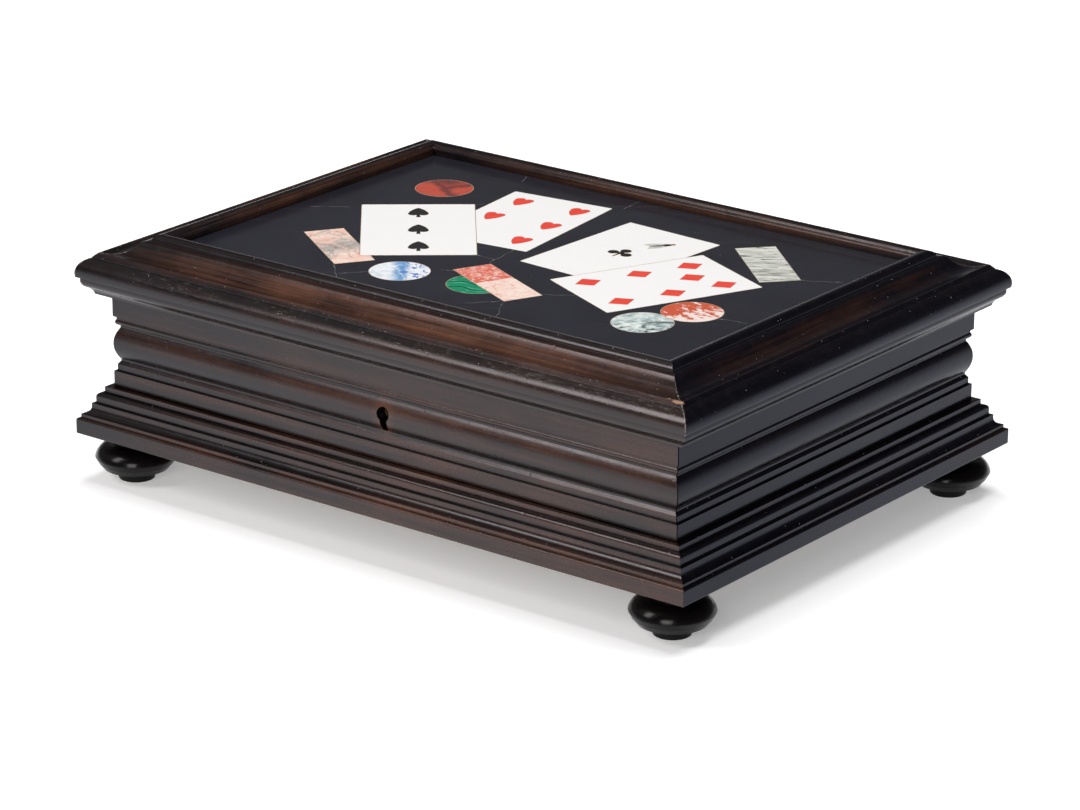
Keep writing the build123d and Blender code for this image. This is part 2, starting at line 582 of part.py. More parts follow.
def cross_divider(x):
    middle = (BAY_BACK - INSIDE_Y) / 2
    half = DIVIDER_THICKNESS / 2
    return block(x, (middle - half, middle + half), (PANEL_HIGH, PANEL_HIGH + DIVIDER_HEIGHT))


# --- inlay ----------------------------------------------------------------------------------------------
def placed(shape, at):
    return Pos(at[0], at[1]) * Rot(0, 0, at[2]) * shape


def let_in(shape):
    """A flat shape as a plate of stone, flush with the slab's face."""
    return extrude(Plane.XY.offset(SLAB_TOP - INLAY_DEPTH) * shape, amount=INLAY_DEPTH, dir=(0, 0, 1))


def card(at, grow=0.0):
    return placed(RectangleRounded(CARD_LENGTH + 2 * grow, CARD_WIDTH + 2 * grow, CARD_CORNER), at)


def counter(at, grow=0.0):
    return placed(Circle(COUNTER_RADIUS + grow), at)


def marker(at, grow=0.0):
    return placed(Rectangle(MARKER_LENGTH + 2 * grow, MARKER_WIDTH + 2 * grow), at)


def heart_outline(length, width):
    """A heart with its point towards -X, drawn from the point."""
    lobe = -width * 0.27
    pen = Pen(-length * 0.54, 0).bow(length * 0.72, width * 0.5, -width * 0.09)
    pen.bow(length * 0.14, -width * 0.5, lobe).bow(-length * 0.14, -width * 0.5, lobe)
    return pen.bow(-length * 0.72, width * 0.5, -width * 0.09).face()


def heart(grow):
    return heart_outline(HEART_LENGTH + 2 * grow, HEART_WIDTH + 2 * grow)


def spade(grow):
    foot_x = -SPADE_LENGTH / 2 - SPADE_STEM - grow
    half = SPADE_STEM_WIDTH / 2 + grow
    blade = Rot(0, 0, 180) * heart_outline(SPADE_LENGTH + 2 * grow, SPADE_WIDTH + 2 * grow)
    shape = blade + Polygon((foot_x, -half), (0, -half / 2), (0, half / 2), (foot_x, half), align=None)
    return Pos(SPADE_STEM / 2, 0) * shape


def club(grow):
    foot_x, half = -CLUB_STEM - grow, CLUB_STEM_WIDTH / 2 + grow
    stem = Polygon((foot_x, -half / 2), (0, -half), (0, half), (foot_x, half / 2), align=None)
    shape = stem + Circle(CLUB_SPREAD - CLUB_LEAF + INLAY_JOINT * 2 + grow)
    for angle in (0, 100, -100):
        shape += Rot(0, 0, angle) * Pos(CLUB_SPREAD, 0) * Circle(CLUB_LEAF + grow)
    return shape


def diamond(grow):
    x, y = DIAMOND_LENGTH / 2 + grow, DIAMOND_WIDTH / 2 + grow
    return Polygon((x, 0), (0, y), (-x, 0), (0, -y), align=None)


def insect_body(grow):
    thorax, abdomen = (Ellipse(x + grow, y + grow) for x, y in (INSECT_THORAX, INSECT_ABDOMEN))
    neck = INSECT_THORAX[0] + INSECT_HEAD * 0.7
    waist = INSECT_THORAX[0] + INSECT_ABDOMEN[0] * 0.7
    return Pos(waist - INSECT_THORAX[0], 0) * (thorax + Pos(neck, 0) * Circle(INSECT_HEAD + grow)
                                               + Pos(-waist, 0) * abdomen)


def insect_wings(grow):
    """Two wings folded back beside the body, which hides their inner edges."""
    x, y = INSECT_WING
    wing = Ellipse(x + grow, y + grow)
    body = insect_body(INLAY_JOINT)
    return [Pos(-x * 0.4, side * y * 1.25) * Rot(0, 0, -side * INSECT_WING_SPREAD) * wing - body
            for side in (-1, 1)]


def pips(shape, at, spots, grow=0.0):
    """One pip at each spot on a card, all of them upright."""
    return [placed(Pos(x, y) * shape(grow), at) for x, y in spots]


def insect(shape):
    return let_in(placed(placed(shape, INSECT_ON_ACE), ACE_CLUBS_AT))


THREE_SPOTS = [(PIP_ROW, 0), (0, 0), (-PIP_ROW, 0)]
SIX_SPOTS = [(PIP_ROW, PIP_COLUMN), (0, PIP_COLUMN), (PIP_ROW, -PIP_COLUMN), (0, -PIP_COLUMN),
             (-PIP_ROW, -PIP_COLUMN)]
SEVEN_SPOTS = [(SEVENTH_PIP, 0)]
SEVEN_SPOTS += [(x, y) for x in (-PIP_ROW, 0, PIP_ROW) for y in (-PIP_COLUMN, PIP_COLUMN)]
ACE_SPOTS = [(0, 0)]
PIPS = {
    "pips_spades": (spade, THREE_SPADES_AT, THREE_SPOTS),
    "pips_hearts": (heart, SIX_HEARTS_AT, SIX_SPOTS),
    "pip_club": (club, ACE_CLUBS_AT, ACE_SPOTS),
    "pips_diamonds": (diamond, SEVEN_DIAMONDS_AT, SEVEN_SPOTS),
}


def without(shape, covers):
    for cover in covers:
        shape = shape - cover
    return shape


def inlay_shapes(grow=0.0):
    """Every inlaid piece's outline; a piece that lies under another is cut off at the joint."""
    step = INLAY_JOINT
    spades = card(THREE_SPADES_AT, step)
    diamonds = card(SEVEN_DIAMONDS_AT, step)
    shapes = {
        "card_spades": (card(THREE_SPADES_AT, grow), []),
        "card_hearts": (card(SIX_HEARTS_AT, grow), [spades]),
        "card_clubs": (card(ACE_CLUBS_AT, grow), [diamonds]),
        "card_diamonds": (card(SEVEN_DIAMONDS_AT, grow), []),
        "counter_red": (counter(RED_COUNTER_AT, grow), []),
        "counter_blue": (counter(BLUE_COUNTER_AT, grow), []),
        "counter_green": (counter(GREEN_COUNTER_AT, grow), [marker(FRONT_MARKER_AT, step)]),
        "counter_grey": (counter(GREY_COUNTER_AT, grow), [counter(VEINED_COUNTER_AT, step)]),
        "counter_veined": (counter(VEINED_COUNTER_AT, grow), []),
        "marker_left": (marker(LEFT_MARKER_AT, grow), [spades]),
        "marker_front": (marker(FRONT_MARKER_AT, grow), []),
        "marker_right": (marker(RIGHT_MARKER_AT, grow), []),
    }
    return {name: without(shape, covers) for name, (shape, covers) in shapes.items()}


def inlay_nodes():
    nodes = {name: let_in(shape) for name, shape in inlay_shapes().items()}
    cards = {"pips_spades": "card_spades", "pips_hearts": "card_hearts", "pip_club": "card_clubs",
             "pips_diamonds": "card_diamonds"}
    for name, (shape, at, spots) in PIPS.items():
        holes = [let_in(hole) for hole in pips(shape, at, spots, INLAY_JOINT)]
        nodes[cards[name]] = cut(nodes[cards[name]], holes)
        nodes[name] = Compound([let_in(pip) for pip in pips(shape, at, spots)])
    nodes["insect_body"] = insect(insect_body(0))
    nodes["insect_wings"] = Compound([insect(wing) for wing in insect_wings(0)])
    holes = [insect(shape) for shape in [insect_body(INLAY_JOINT)] + insect_wings(INLAY_JOINT)]
    nodes["card_clubs"] = cut(nodes["card_clubs"], holes)
    return nodes


def slate_slab():
    x, y = (half - SLAB_RABBET - SLAB_GAP for half in (HALF_WIDTH, HALF_DEPTH))
    slab = block((-x, x), (-y, y), (SLAB_BOTTOM, SLAB_TOP))
    return cut(slab, [let_in(shape) for shape in inlay_shapes(INLAY_JOINT).values()])


# --- the whole box ------------------------------------------------------------------------------------------
def nodes():
    parts = {f"base_{side}": base_moulding(side) for side in ("front", "right", "back", "left")}
    parts.update({f"wall_{side}": moulding(wall_profile(BASE_TOP, CORNICE_BOTTOM), side)
                  for side in ("right", "back", "left")})
    parts.update({f"top_{side}": top_moulding(side) for side in ("front", "right", "back", "left")})
    parts.update({f"foot_{name}": Pos(x, y, 0) * foot() for name, (x, y) in foot_spots().items()})
    parts["bottom_board"] = bottom_board()
    parts["bottom_screws"] = Compound(board_screws(*bottom_half(), BOTTOM_TOP, -1))
    parts["runner_left"] = runner(-1)
    parts["runner_right"] = runner(1)
    parts["drawer_stops"] = drawer_stops()
    parts["strike_rail"] = strike_rail()
    parts["strike_plate"] = strike_plate()
    parts["top_board"] = top_board()
    parts["top_screws"] = Compound(board_screws(*board_half(), BOARD_BOTTOM, 1))
    parts["slate_slab"] = slate_slab()
    parts.update(inlay_nodes())
    parts["drawer_front"] = drawer_front()
    parts["drawer_side_left"] = drawer_side(-1)
    parts["drawer_side_right"] = drawer_side(1)
    parts["drawer_back"] = drawer_back()
    parts["drawer_panel"] = drawer_panel()
    parts["divider_left"] = long_divider(-1)
    parts["divider_right"] = long_divider(1)
    bay = MIDDLE_BAY / 2
    parts["divider_cross_left"] = cross_divider((-BAY_X, -bay - DIVIDER_THICKNESS))
    parts["divider_cross_middle"] = cross_divider((-bay, bay))
    parts["divider_cross_right"] = cross_divider((bay + DIVIDER_THICKNESS, BAY_X))
    parts["lock_plate"] = lock_plate()
    parts["lock_case"] = lock_case()
    parts["lock_drill_pin"] = drill_pin()
    parts["lock_screws"] = Compound(lock_screw_solids())
    parts["lock_bolt"] = lock_bolt()
    return parts


os.makedirs("parts", exist_ok=True)
for name, solid in nodes().items():
    export_step(solid, f"parts/{name}.step")
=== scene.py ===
"""A low ebonised box for playing cards, with a slate top inlaid with cards and counters, in Blender.

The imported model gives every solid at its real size. This script adds the finishes, the mastic lines round
the inlay, the hairline cracks of the slate, the floor, the lamps and the camera.
"""

from math import cos, radians, sin

import bmesh
import bpy
from mathutils import Matrix, Vector


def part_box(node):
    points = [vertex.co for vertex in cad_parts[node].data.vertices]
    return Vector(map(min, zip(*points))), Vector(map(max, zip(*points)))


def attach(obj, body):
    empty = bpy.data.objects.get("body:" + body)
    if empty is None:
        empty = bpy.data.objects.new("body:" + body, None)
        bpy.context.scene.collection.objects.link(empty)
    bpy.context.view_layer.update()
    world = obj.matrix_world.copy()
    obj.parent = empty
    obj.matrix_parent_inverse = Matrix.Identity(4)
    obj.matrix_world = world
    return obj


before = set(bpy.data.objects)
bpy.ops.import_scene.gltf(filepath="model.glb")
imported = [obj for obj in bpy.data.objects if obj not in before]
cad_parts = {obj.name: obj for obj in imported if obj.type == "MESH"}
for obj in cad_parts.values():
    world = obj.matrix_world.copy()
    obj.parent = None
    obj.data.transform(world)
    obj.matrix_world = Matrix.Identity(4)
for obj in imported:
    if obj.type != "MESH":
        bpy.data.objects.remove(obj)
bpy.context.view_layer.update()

bl_info = {
    "name": "Inlaid card box",
    "version": (1, 0),
    "blender": (4, 5, 0),
    "location": "View3D > Sidebar > Card box",
    "description": "Finishes, inlay joints and stage for a slate-topped card box with a drawer",
    "category": "Object",
}

MM = 0.001
WHITE = (1.0, 1.0, 1.0)
CARDS = ("card_spades", "card_hearts", "card_clubs", "card_diamonds")
INLAY = (*CARDS, "counter_red", "counter_blue", "counter_green", "counter_grey", "counter_veined",
         "marker_left", "marker_front", "marker_right")
SLAB_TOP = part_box("slate_slab")[1].z
INLAY_TURN = 37.0  # degrees by which some of the stones' patterns and the slate's scratches are turned
# for each side the axis that runs inward, its sense, and the millimetres at which the side's face stands
PLINTH = {
    "front": ("Y", 1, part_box("base_front")[0].y / MM),
    "right": ("X", -1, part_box("base_right")[1].x / MM),
    "back": ("Y", -1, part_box("base_back")[1].y / MM),
    "left": ("X", 1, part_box("base_left")[0].x / MM),
}


# --- node trees ---
class Nodes:
    """A node tree in the making. Most methods add nodes and return the socket that comes out of them."""
    place = None  # the coordinates for a method that is given none

    def __init__(self, tree):
        self.tree = tree
        tree.nodes.clear()

    def add(self, kind, inputs=None, **settings):
        """A node with these settings, and with its inputs fed by name or number unless they are None."""
        node = self.tree.nodes.new(kind)
        for key, value in settings.items():
            setattr(node, key, value)
        for key, value in (inputs or {}).items():
            if value is not None:
                self.feed(node.inputs[key], value)
        return node

    def feed(self, socket, value):
        """Links another socket or sets a constant."""
        if isinstance(value, bpy.types.NodeSocket):
            self.tree.links.new(value, socket)
        else:
            opaque = socket.type == "RGBA" and len(value) == 3
            socket.default_value = (*value, 1.0) if opaque else value

    def vector(self, operation, a, b=None, scale=None):
        node = self.add("ShaderNodeVectorMath", {0: a, 1: b, "Scale": scale}, operation=operation)
        return node.outputs["Value" if operation in ("DOT_PRODUCT", "LENGTH", "DISTANCE") else "Vector"]

    def axis(self, which, at=None):
        return self.add("ShaderNodeSeparateXYZ", {0: at or self.place}).outputs[which]

    def math(self, operation, a, b=None, clamp=False):
        return self.add("ShaderNodeMath", {0: a, 1: b}, operation=operation, use_clamp=clamp).outputs[0]

    def chained(self, operation, values, clamp=False):
        """The values taken together one after another; only the last result is clamped."""
        so_far, *between, last = values
        for value in between:
            so_far = self.math(operation, so_far, value)
        return self.math(operation, so_far, last, clamp)

    def product(self, *factors, clamp=False):
        return self.chained("MULTIPLY", factors, clamp)

    def total(self, *terms, clamp=False):
        return self.chained("ADD", terms, clamp)

    def largest(self, *values):
        return self.chained("MAXIMUM", values)

    def gap(self, a, b):
        """How far apart two numbers are."""
        return self.math("ABSOLUTE", self.math("SUBTRACT", a, b))

    def span(self, value, low, high, to_low=0.0, to_high=1.0, smooth=False):
        """The value's way from low to high, as the same share of the way between two other numbers."""
        inputs = {"Value": value, "From Min": low, "From Max": high, "To Min": to_low, "To Max": to_high}
        kind = "SMOOTHSTEP" if smooth else "LINEAR"
        return self.add("ShaderNodeMapRange", inputs, interpolation_type=kind).outputs["Result"]

    def noise(self, scale, detail=3.0, roughness=0.55, distortion=0.0, colour=False, at=None):
        """Soft noise, about this many swells to a unit of the coordinates, as a number or a colour."""
        inputs = {"Vector": at or self.place, "Scale": scale, "Detail": detail, "Roughness": roughness,
                  "Distortion": distortion}
        return self.add("ShaderNodeTexNoise", inputs).outputs["Color" if colour else "Fac"]

    def ramp(self, value, *stops):
        """Colours along a value, as (place, colour) pairs."""
        node = self.add("ShaderNodeValToRGB", {0: value})
        elements = node.color_ramp.elements
        while len(elements) < len(stops):
            elements.new(1.0)
        for element, (place, colour) in zip(elements, stops):
            element.position = place
            element.color = (*colour, 1.0)
        return node.outputs["Color"]

    def mix(self, share, a, b, blend="MIX"):
        inputs = {"Factor": share, 6: a, 7: b}
        return self.add("ShaderNodeMix", inputs, data_type="RGBA", blend_type=blend).outputs[2]

    def fade(self, a, b, value, low, high, full=1.0):
        """One colour that turns to another as the value goes from low to high, as far as full."""
        return self.mix(self.span(value, low, high, 0.0, full), a, b)

    def lay(self, colour, tint, *shares):
        """A colour with a tint laid over it by the product of these shares."""
        return self.mix(self.product(*shares), colour, tint)


def fresh_material(name):
    material = bpy.data.materials.new(name)
    material.use_nodes = True
    return material


class Finish(Nodes):
    """The nodes of a finish, whose places and lengths are in the object's own millimetres."""

    def __init__(self, name):
        self.material = fresh_material(name)
        super().__init__(self.material.node_tree)
        coordinates = self.add("ShaderNodeTexCoord").outputs["Object"]
        self.place = self.vector("SCALE", coordinates, scale=1 / MM)

    def stretched(self, factors):
        """The places multiplied by these factors; a small one draws a pattern out along its axis."""
        return self.vector("MULTIPLY", self.place, factors)

    def turned(self, centre, turn=0.0, stretch=(1.0, 1.0, 1.0)):
        """Millimetres from a centre, turned about Z by degrees, then stretched."""
        moved = self.vector("SUBTRACT", self.place, centre)
        node = self.add("ShaderNodeMapping", {"Vector": moved, "Rotation": (0.0, 0.0, radians(-turn))})
        return self.vector("MULTIPLY", node.outputs[0], stretch)

    def warped(self, coordinates, scale, amount):
        """The coordinates pushed about by this many millimetres of slow noise."""
        wander = self.noise(scale, colour=True, at=coordinates)
        centred = self.vector("SUBTRACT", wander, (0.5, 0.5, 0.5))
        return self.vector("ADD", coordinates, self.vector("SCALE", centred, scale=amount))

    def cells(self, scale, feature="F1", output="Distance", at=None):
        inputs = {"Vector": at or self.place, "Scale": scale}
        return self.add("ShaderNodeTexVoronoi", inputs, feature=feature).outputs[output]

    def bands(self, coordinates, scale, distortion, detail):
        inputs = {"Vector": coordinates, "Scale": scale, "Distortion": distortion, "Detail": detail}
        return self.add("ShaderNodeTexWave", inputs).outputs["Fac"]

    def curve(self, value, reach, pairs):
        """A number along a value from 0 to 1, as (place, number) pairs with places up to the reach."""
        stops = [(place / reach, (number,) * 3) for place, number in pairs]
        return self.axis("X", self.ramp(value, *stops))

    def between(self, value, start, full, less, end):
        """1 from full to less, and fading to 0 at start and at end."""
        return self.product(self.span(value, start, full), self.span(value, end, less))

    def bump(self, height, distance, strength, normal=None):
        """Relief whose full height is this many millimetres."""
        inputs = {"Height": height, "Distance": distance * MM, "Strength": strength, "Normal": normal}
        return self.add("ShaderNodeBump", inputs).outputs[0]

    def soft_edges(self, radius):
        """The normal with every arris eased by this many millimetres, and how near an arris is."""
        eased = self.add("ShaderNodeBevel", {"Radius": radius * MM}, samples=6).outputs[0]
        likeness = self.vector("DOT_PRODUCT", eased, self.facing("Normal"))
        return eased, self.span(likeness, 0.995, 0.85)

    def facing(self, which):
        """The surface's own direction: Normal, or True Normal for the bare facet."""
        return self.add("ShaderNodeNewGeometry").outputs[which]

    def hollow(self, reach):
        """1 deep in a groove, 0 in the open, looking this many millimetres around."""
        closed = self.add("ShaderNodeAmbientOcclusion", {"Distance": reach * MM}, samples=6)
        return self.span(closed.outputs["AO"], 0.80, 0.30)

    def surface(self, colour, roughness, normal=None, more=None):
        """The finished material, with more of the shader's sockets fed by name."""
        inputs = {"Base Color": colour, "Roughness": roughness, "Normal": normal, **(more or {})}
        shader = self.add("ShaderNodeBsdfPrincipled", inputs)
        self.add("ShaderNodeOutputMaterial", {"Surface": shader.outputs[0]})
        return self.material

    def polished(self, colour, roughness, grain):
        """The finished material of a polished stone, with a slight relief of its grain."""
        return self.surface(colour, roughness, self.bump(grain, 0.01, 0.15))


def dimmed(colour, share):
    return tuple(part * share for part in colour)


# --- the ebonised mouldings; colours are linear red, green and blue ---
ALONG = {"X": (0.03, 1.0, 1.0), "Y": (1.0, 0.03, 1.0)}  # what draws a pattern out along the grain
STAIN = (0.0028, 0.0024, 0.0027)
BROWN_STAIN = (0.0150, 0.0074, 0.0062)
# painted light: a bluer black mixed into the stain of the sides on which cooler light falls
PAINTED_COOL_SHADE = (0.0030, 0.0034, 0.0060)
PORE_DARK = (0.004, 0.003, 0.003)
WORN = (0.125, 0.046, 0.021)
BARE = (0.34, 0.150, 0.070)
PALE_SPLINTER, DARK_SPLINTER = (0.42, 0.250, 0.160), (0.110, 0.045, 0.026)
OPEN_MITRE = (0.46, 0.37, 0.32)
BORE = (0.002, 0.0015, 0.0012)
# the pale colour of dust, also used for a painted highlight along the arrises
DUST_AND_GLINT_COLOUR = (0.300, 0.270, 0.240)
# painted shade: the near-black colour laid into the hollows of the mouldings
HOLLOW_SHADE_COLOUR = (0.0015, 0.0014, 0.0016)
# heights at which hands and cloths have rubbed the stain, in millimetres, and how far
PROFILE_HEIGHT = 128.0
RUBBED = ((24.0, 0.30), (31.6, 0.34), (32.6, 0.85), (34.2, 0.70), (35.0, 0.06), (37.4, 0.22), (38.4, 0.70),
          (39.4, 0.05), (43.4, 0.55), (44.8, 0.08), (47.6, 0.72), (49.2, 0.20), (55.8, 0.48), (57.0, 0.12),
          (59.8, 0.50), (61.5, 0.02), (64.0, 0.06), (70.0, 0.24), (75.2, 0.55), (78.0, 0.32), (79.0, 0.04),
          (82.5, 0.50), (85.0, 0.30), (96.0, 0.20), (100.0, 0.05), (104.5, 0.08), (110.0, 0.20),
          (114.6, 0.10), (116.4, 0.20), (117.2, 0.55))
# the same across the top frame, by distance in from the plinth's face
PROFILE_DEPTH = 40.0
RUBBED_INWARD = ((9.0, 0.30), (10.0, 0.80), (10.8, 0.25), (13.0, 0.45), (16.5, 0.85), (22.5, 1.00),
                 (24.0, 0.70), (24.8, 0.16), (27.4, 0.20), (28.4, 0.04), (32.4, 0.06), (34.0, 0.75),
                 (35.9, 1.00))
# the rubbing of the top frame from one end of a side (0) to the other (1)
DARK_ENDS = ((0.0, 0.10), (0.12, 0.42), (0.26, 0.90), (0.74, 1.0), (0.86, 0.55), (0.96, 0.12))
# the top frame's face lies above this height and further in than this
TOP_FACE_HEIGHT, TOP_FACE_INWARD = 116.0, 9.0
# heights between which the mitres show bare wood and fingers leave smudges: start, full, less, end
MITRE_HEIGHTS = (99.0, 103.0, 117.6, 118.2)
HANDLED_HEIGHTS = (107.0, 109.0, 114.0, 116.0)
# the keyhole's middle, its outline against a circle, and the distances from its middle between which the worn
# ring and the dark bore come in
KEYHOLE, KEYHOLE_SHAPE = (0.0, -126.5, 69.0), (1.0, 0.0, 0.62)
KEYHOLE_RING, KEYHOLE_BORE = (7.5, 4.2), (5.6, 5.2)
# places knocked down to bare wood, in millimetres, with their radii, and how far they are drawn out along X
CHIPS = ((174.0, -127.9, 117.3, 1.5), (168.5, -127.6, 117.4, 0.7), (176.2, -131.5, 115.6, 1.0),
         (-112.0, -127.6, 117.3, 0.4), (60.0, -127.6, 117.3, 0.4))
CHIP_STRETCH = (0.36, 1.0, 1.0)
# for each side the setting of its wear, how much rougher it is than the rest, its gloss, the tint of its
# shine, and how cool its stain looks; the last three are painted light, a dimmer, bluer sheen and a cooler
# stain on the right standing in for the darker, cooler light that falls there
SIDES = {
    "front": ("wear", 0.0, 0.50, (1.0, 0.93, 0.97), 0.0),
    "right": ("side_wear", -0.05, 0.20, (0.50, 0.60, 1.0), 0.7),
    "back": ("far_wear", 0.0, 0.42, (0.95, 0.96, 1.0), 0.3),
    "left": ("far_wear", 0.0, 0.42, (0.95, 0.96, 1.0), 0.3),
}
# painted reflection colour: how much bluer each side's shine turns towards its negative end, for the cooler
# light there
PAINTED_FAR_END_TINT = (0.84, 0.93, 1.0)  # the shine turns this much bluer towards a side's negative end


class Moulding(Finish):
    """Black-stained hardwood on one side of the box, measured along, up and in from that side's face."""

    def __init__(self, name, side):
        super().__init__(name)
        inward_axis, sense, face = PLINTH[side]
        run_axis = "X" if inward_axis == "Y" else "Y"
        self.half = abs(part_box(f"base_{side}")[1]["XYZ".index(run_axis)]) / MM
        self.height = self.axis("Z")
        self.run = self.axis(run_axis)
        self.inward = self.product(self.math("SUBTRACT", self.axis(inward_axis), face), sense)
        along = self.stretched(ALONG[run_axis])
        self.pores = self.noise(2.2, 4.0, 0.6, at=along)
        self.streaks = self.noise(0.30, 6.0, 0.68, distortion=0.3, at=along)
        self.patches = self.noise(0.055, 4.0, 0.7, at=along)
        self.clouds = self.noise(0.022, 4.0, 0.6)
        self.eased, self.arris = self.soft_edges(0.26)
        # how deep in a groove each point lies, used to paint shade into the hollows
        self.hollow_shade = self.hollow(3.0)

    def rubbed_through(self, wear):
        """How far the stain has gone, over the profile where hands reach and along the arrises."""
        outside = self.curve(self.span(self.height, 0.0, PROFILE_HEIGHT), PROFILE_HEIGHT, RUBBED)
        outside = self.product(outside, self.span(self.run, -self.half, -0.35 * self.half, 0.40, 1.0))
        inside = self.curve(self.span(self.inward, 0.0, PROFILE_DEPTH), PROFILE_DEPTH, RUBBED_INWARD)
        inside = self.product(inside, self.curve(self.span(self.run, -self.half, self.half), 1.0, DARK_ENDS))
        on_top = self.product(self.span(self.height, TOP_FACE_HEIGHT, TOP_FACE_HEIGHT + 0.2),
                              self.span(self.inward, TOP_FACE_INWARD, TOP_FACE_INWARD + 0.3))
        zone = self.axis("X", self.mix(on_top, outside, inside))
        grain = self.total(self.product(self.streaks, 0.75), self.product(self.clouds, 0.45))
        rubbed = self.product(zone, self.span(grain, 0.44, 0.80), wear, clamp=True)
        edge = self.product(self.arris, self.span(self.patches, 0.46, 0.66), wear * 0.75, clamp=True)
        return self.largest(rubbed, edge)

    def stained(self, worn, painted_coolness):
        """Black stain that turns brown where it thins, bare wood where it has gone, and dark pores."""
        stain = self.fade(STAIN, BROWN_STAIN, self.streaks, 0.35, 0.70)
        # painted light: the stain turns bluer by the side's coolness
        stain = self.mix(painted_coolness, stain, PAINTED_COOL_SHADE)
        colour = self.fade(stain, WORN, worn, 0.04, 0.72)
        colour = self.fade(colour, BARE, worn, 0.66, 1.0, 0.6)
        return self.fade(colour, PORE_DARK, self.pores, 0.54, 0.72, 0.50)

    def chipped(self, colour):
        """Splintered bare wood where the rim was knocked."""
        ragged = self.warped(self.place, 0.8, 2.4)
        splinter = self.fade(PALE_SPLINTER, DARK_SPLINTER, self.pores, 0.40, 0.62)
        for x, y, z, radius in CHIPS:
            offset = self.vector("MULTIPLY", self.vector("SUBTRACT", ragged, (x, y, z)), CHIP_STRETCH)
            chip = self.span(self.vector("LENGTH", offset), radius, radius * 0.6)
            colour = self.mix(chip, colour, splinter)
        return colour

    def open_mitre(self, colour, wear):
        """Pale nicks along the mitres of the cornice."""
        from_end = self.math("SUBTRACT", self.half, self.math("ABSOLUTE", self.run))
        mitre = self.span(self.gap(from_end, self.inward), 0.9, 0.2)
        nicked = self.span(self.noise(0.55, 4.0, 0.7), 0.45, 0.62, 0.0, 0.8)
        cornice = self.between(self.height, *MITRE_HEIGHTS)
        return self.lay(colour, OPEN_MITRE, mitre, cornice, nicked, min(1.0, wear))

    def worn_keyhole(self, colour):
        """Brown wood round the keyhole, and darkness inside it."""
        offset = self.vector("MULTIPLY", self.vector("SUBTRACT", self.place, KEYHOLE), KEYHOLE_SHAPE)
        away = self.vector("LENGTH", offset)
        patchy = self.span(self.patches, 0.36, 0.56, 0.0, 0.6)
        colour = self.lay(colour, WORN, self.span(away, *KEYHOLE_RING), patchy)
        sideways = self.span(self.math("ABSOLUTE", self.axis("Y", self.facing("True Normal"))), 0.35, 0.15)
        return self.lay(colour, BORE, sideways, self.span(away, *KEYHOLE_BORE))

    def dust_and_glint(self, wear):
        """Dust on what faces up: grit, a thin film, smudges on the cornice, and a pale line along the arrises
        that is partly dust and partly a painted highlight.
        """
        handling = min(1.0, wear)
        specks = self.cells(0.55)
        chance = self.axis("X", self.cells(0.55, output="Color"))
        rare = 0.95 - 0.06 * handling
        grit = self.product(self.span(specks, 0.17, 0.08), self.span(chance, rare, rare + 0.01))
        film = self.span(self.noise(0.14, 6.0, 0.75), 0.50, 0.72, 0.0, 0.014)
        scratched = self.warped(self.stretched((0.14, 0.14, 1.0)), 0.05, 4.0)
        fingers = self.span(self.noise(1.3, 5.0, 0.75, at=scratched), 0.54, 0.62, 0.0, 0.17)
        smudge = self.product(fingers, self.span(self.clouds, 0.42, 0.56),
                              self.between(self.height, *HANDLED_HEIGHTS), handling ** 2)
        # partly dust and partly a painted highlight: a pale broken line along the arrises
        painted_glint = self.span(self.noise(0.9, 4.0, 0.7), 0.46, 0.60, 0.0, 0.16)
        up = self.span(self.axis("Z", self.facing("Normal")), 0.1, 0.7, 0.10, 1.0)
        dust_with_glint = self.total(grit, self.product(self.arris, painted_glint), film, smudge)
        return self.product(dust_with_glint, up, clamp=True)

    def relief(self):
        """Open grain, a fine unevenness and a few dents, over the eased arrises."""
        grain = self.total(self.product(self.pores, 0.4), self.product(self.streaks, 0.6))
        normal = self.bump(grain, 0.07, 0.35, self.eased)
        normal = self.bump(self.noise(1.5, 2.0, 0.6), 0.035, 0.35, normal)
        dents = self.span(self.noise(0.19, 2.0, 0.5), 0.68, 0.82)
        return self.bump(dents, -0.16, 0.5, normal)


def ebonised(name, side, wear, roughness, painted_side_gloss, tint, painted_coolness):
    """Black-stained hardwood: pores along the grain, brown where it has rubbed, dust with a pale line along
    the arrises that is partly a painted highlight, painted shade in the hollows, and a painted sheen and
    stain tint for the light on each side.
    """
    wood = Moulding(name, side)
    worn = wood.rubbed_through(wear)
    colour = wood.open_mitre(wood.chipped(wood.stained(worn, painted_coolness)), wear)
    if side == "front":
        colour = wood.worn_keyhole(colour)
    # dust, with a painted highlight along the arrises
    dust_and_glint = wood.dust_and_glint(wear)
    colour = wood.mix(dust_and_glint, colour, DUST_AND_GLINT_COLOUR)
    # painted shade: the hollows darkened towards near black
    colour = wood.lay(colour, HOLLOW_SHADE_COLOUR, wood.hollow_shade, 0.9)

    smear = wood.noise(0.05, 5.0, 0.7)
    dullness = wood.total(wood.span(smear, 0.3, 0.7, roughness - 0.05, roughness + 0.08),
                          wood.product(worn, 0.12), wood.product(dust_and_glint, 0.4), clamp=True)
    # painted shade: the shine weakens in the hollows and towards the side's negative end
    gloss_and_painted_shade = wood.product(wood.span(wood.hollow_shade, 0.0, 1.0, painted_side_gloss, 0.06),
                          wood.span(wood.run, -wood.half, 0.0, 0.80, 1.0))
    # painted reflection colour: each side's shine is tinted for the light that falls on it, and turns bluer
    # towards its negative end
    painted_far_sheen = tuple(part * share for part, share in zip(tint, PAINTED_FAR_END_TINT))
    painted_side_light = wood.fade(painted_far_sheen, tint, wood.run, -wood.half, 0.2 * wood.half)
    more = {"Specular IOR Level": gloss_and_painted_shade, "Specular Tint": painted_side_light}
    return wood.surface(colour, dullness, wood.relief(), more)


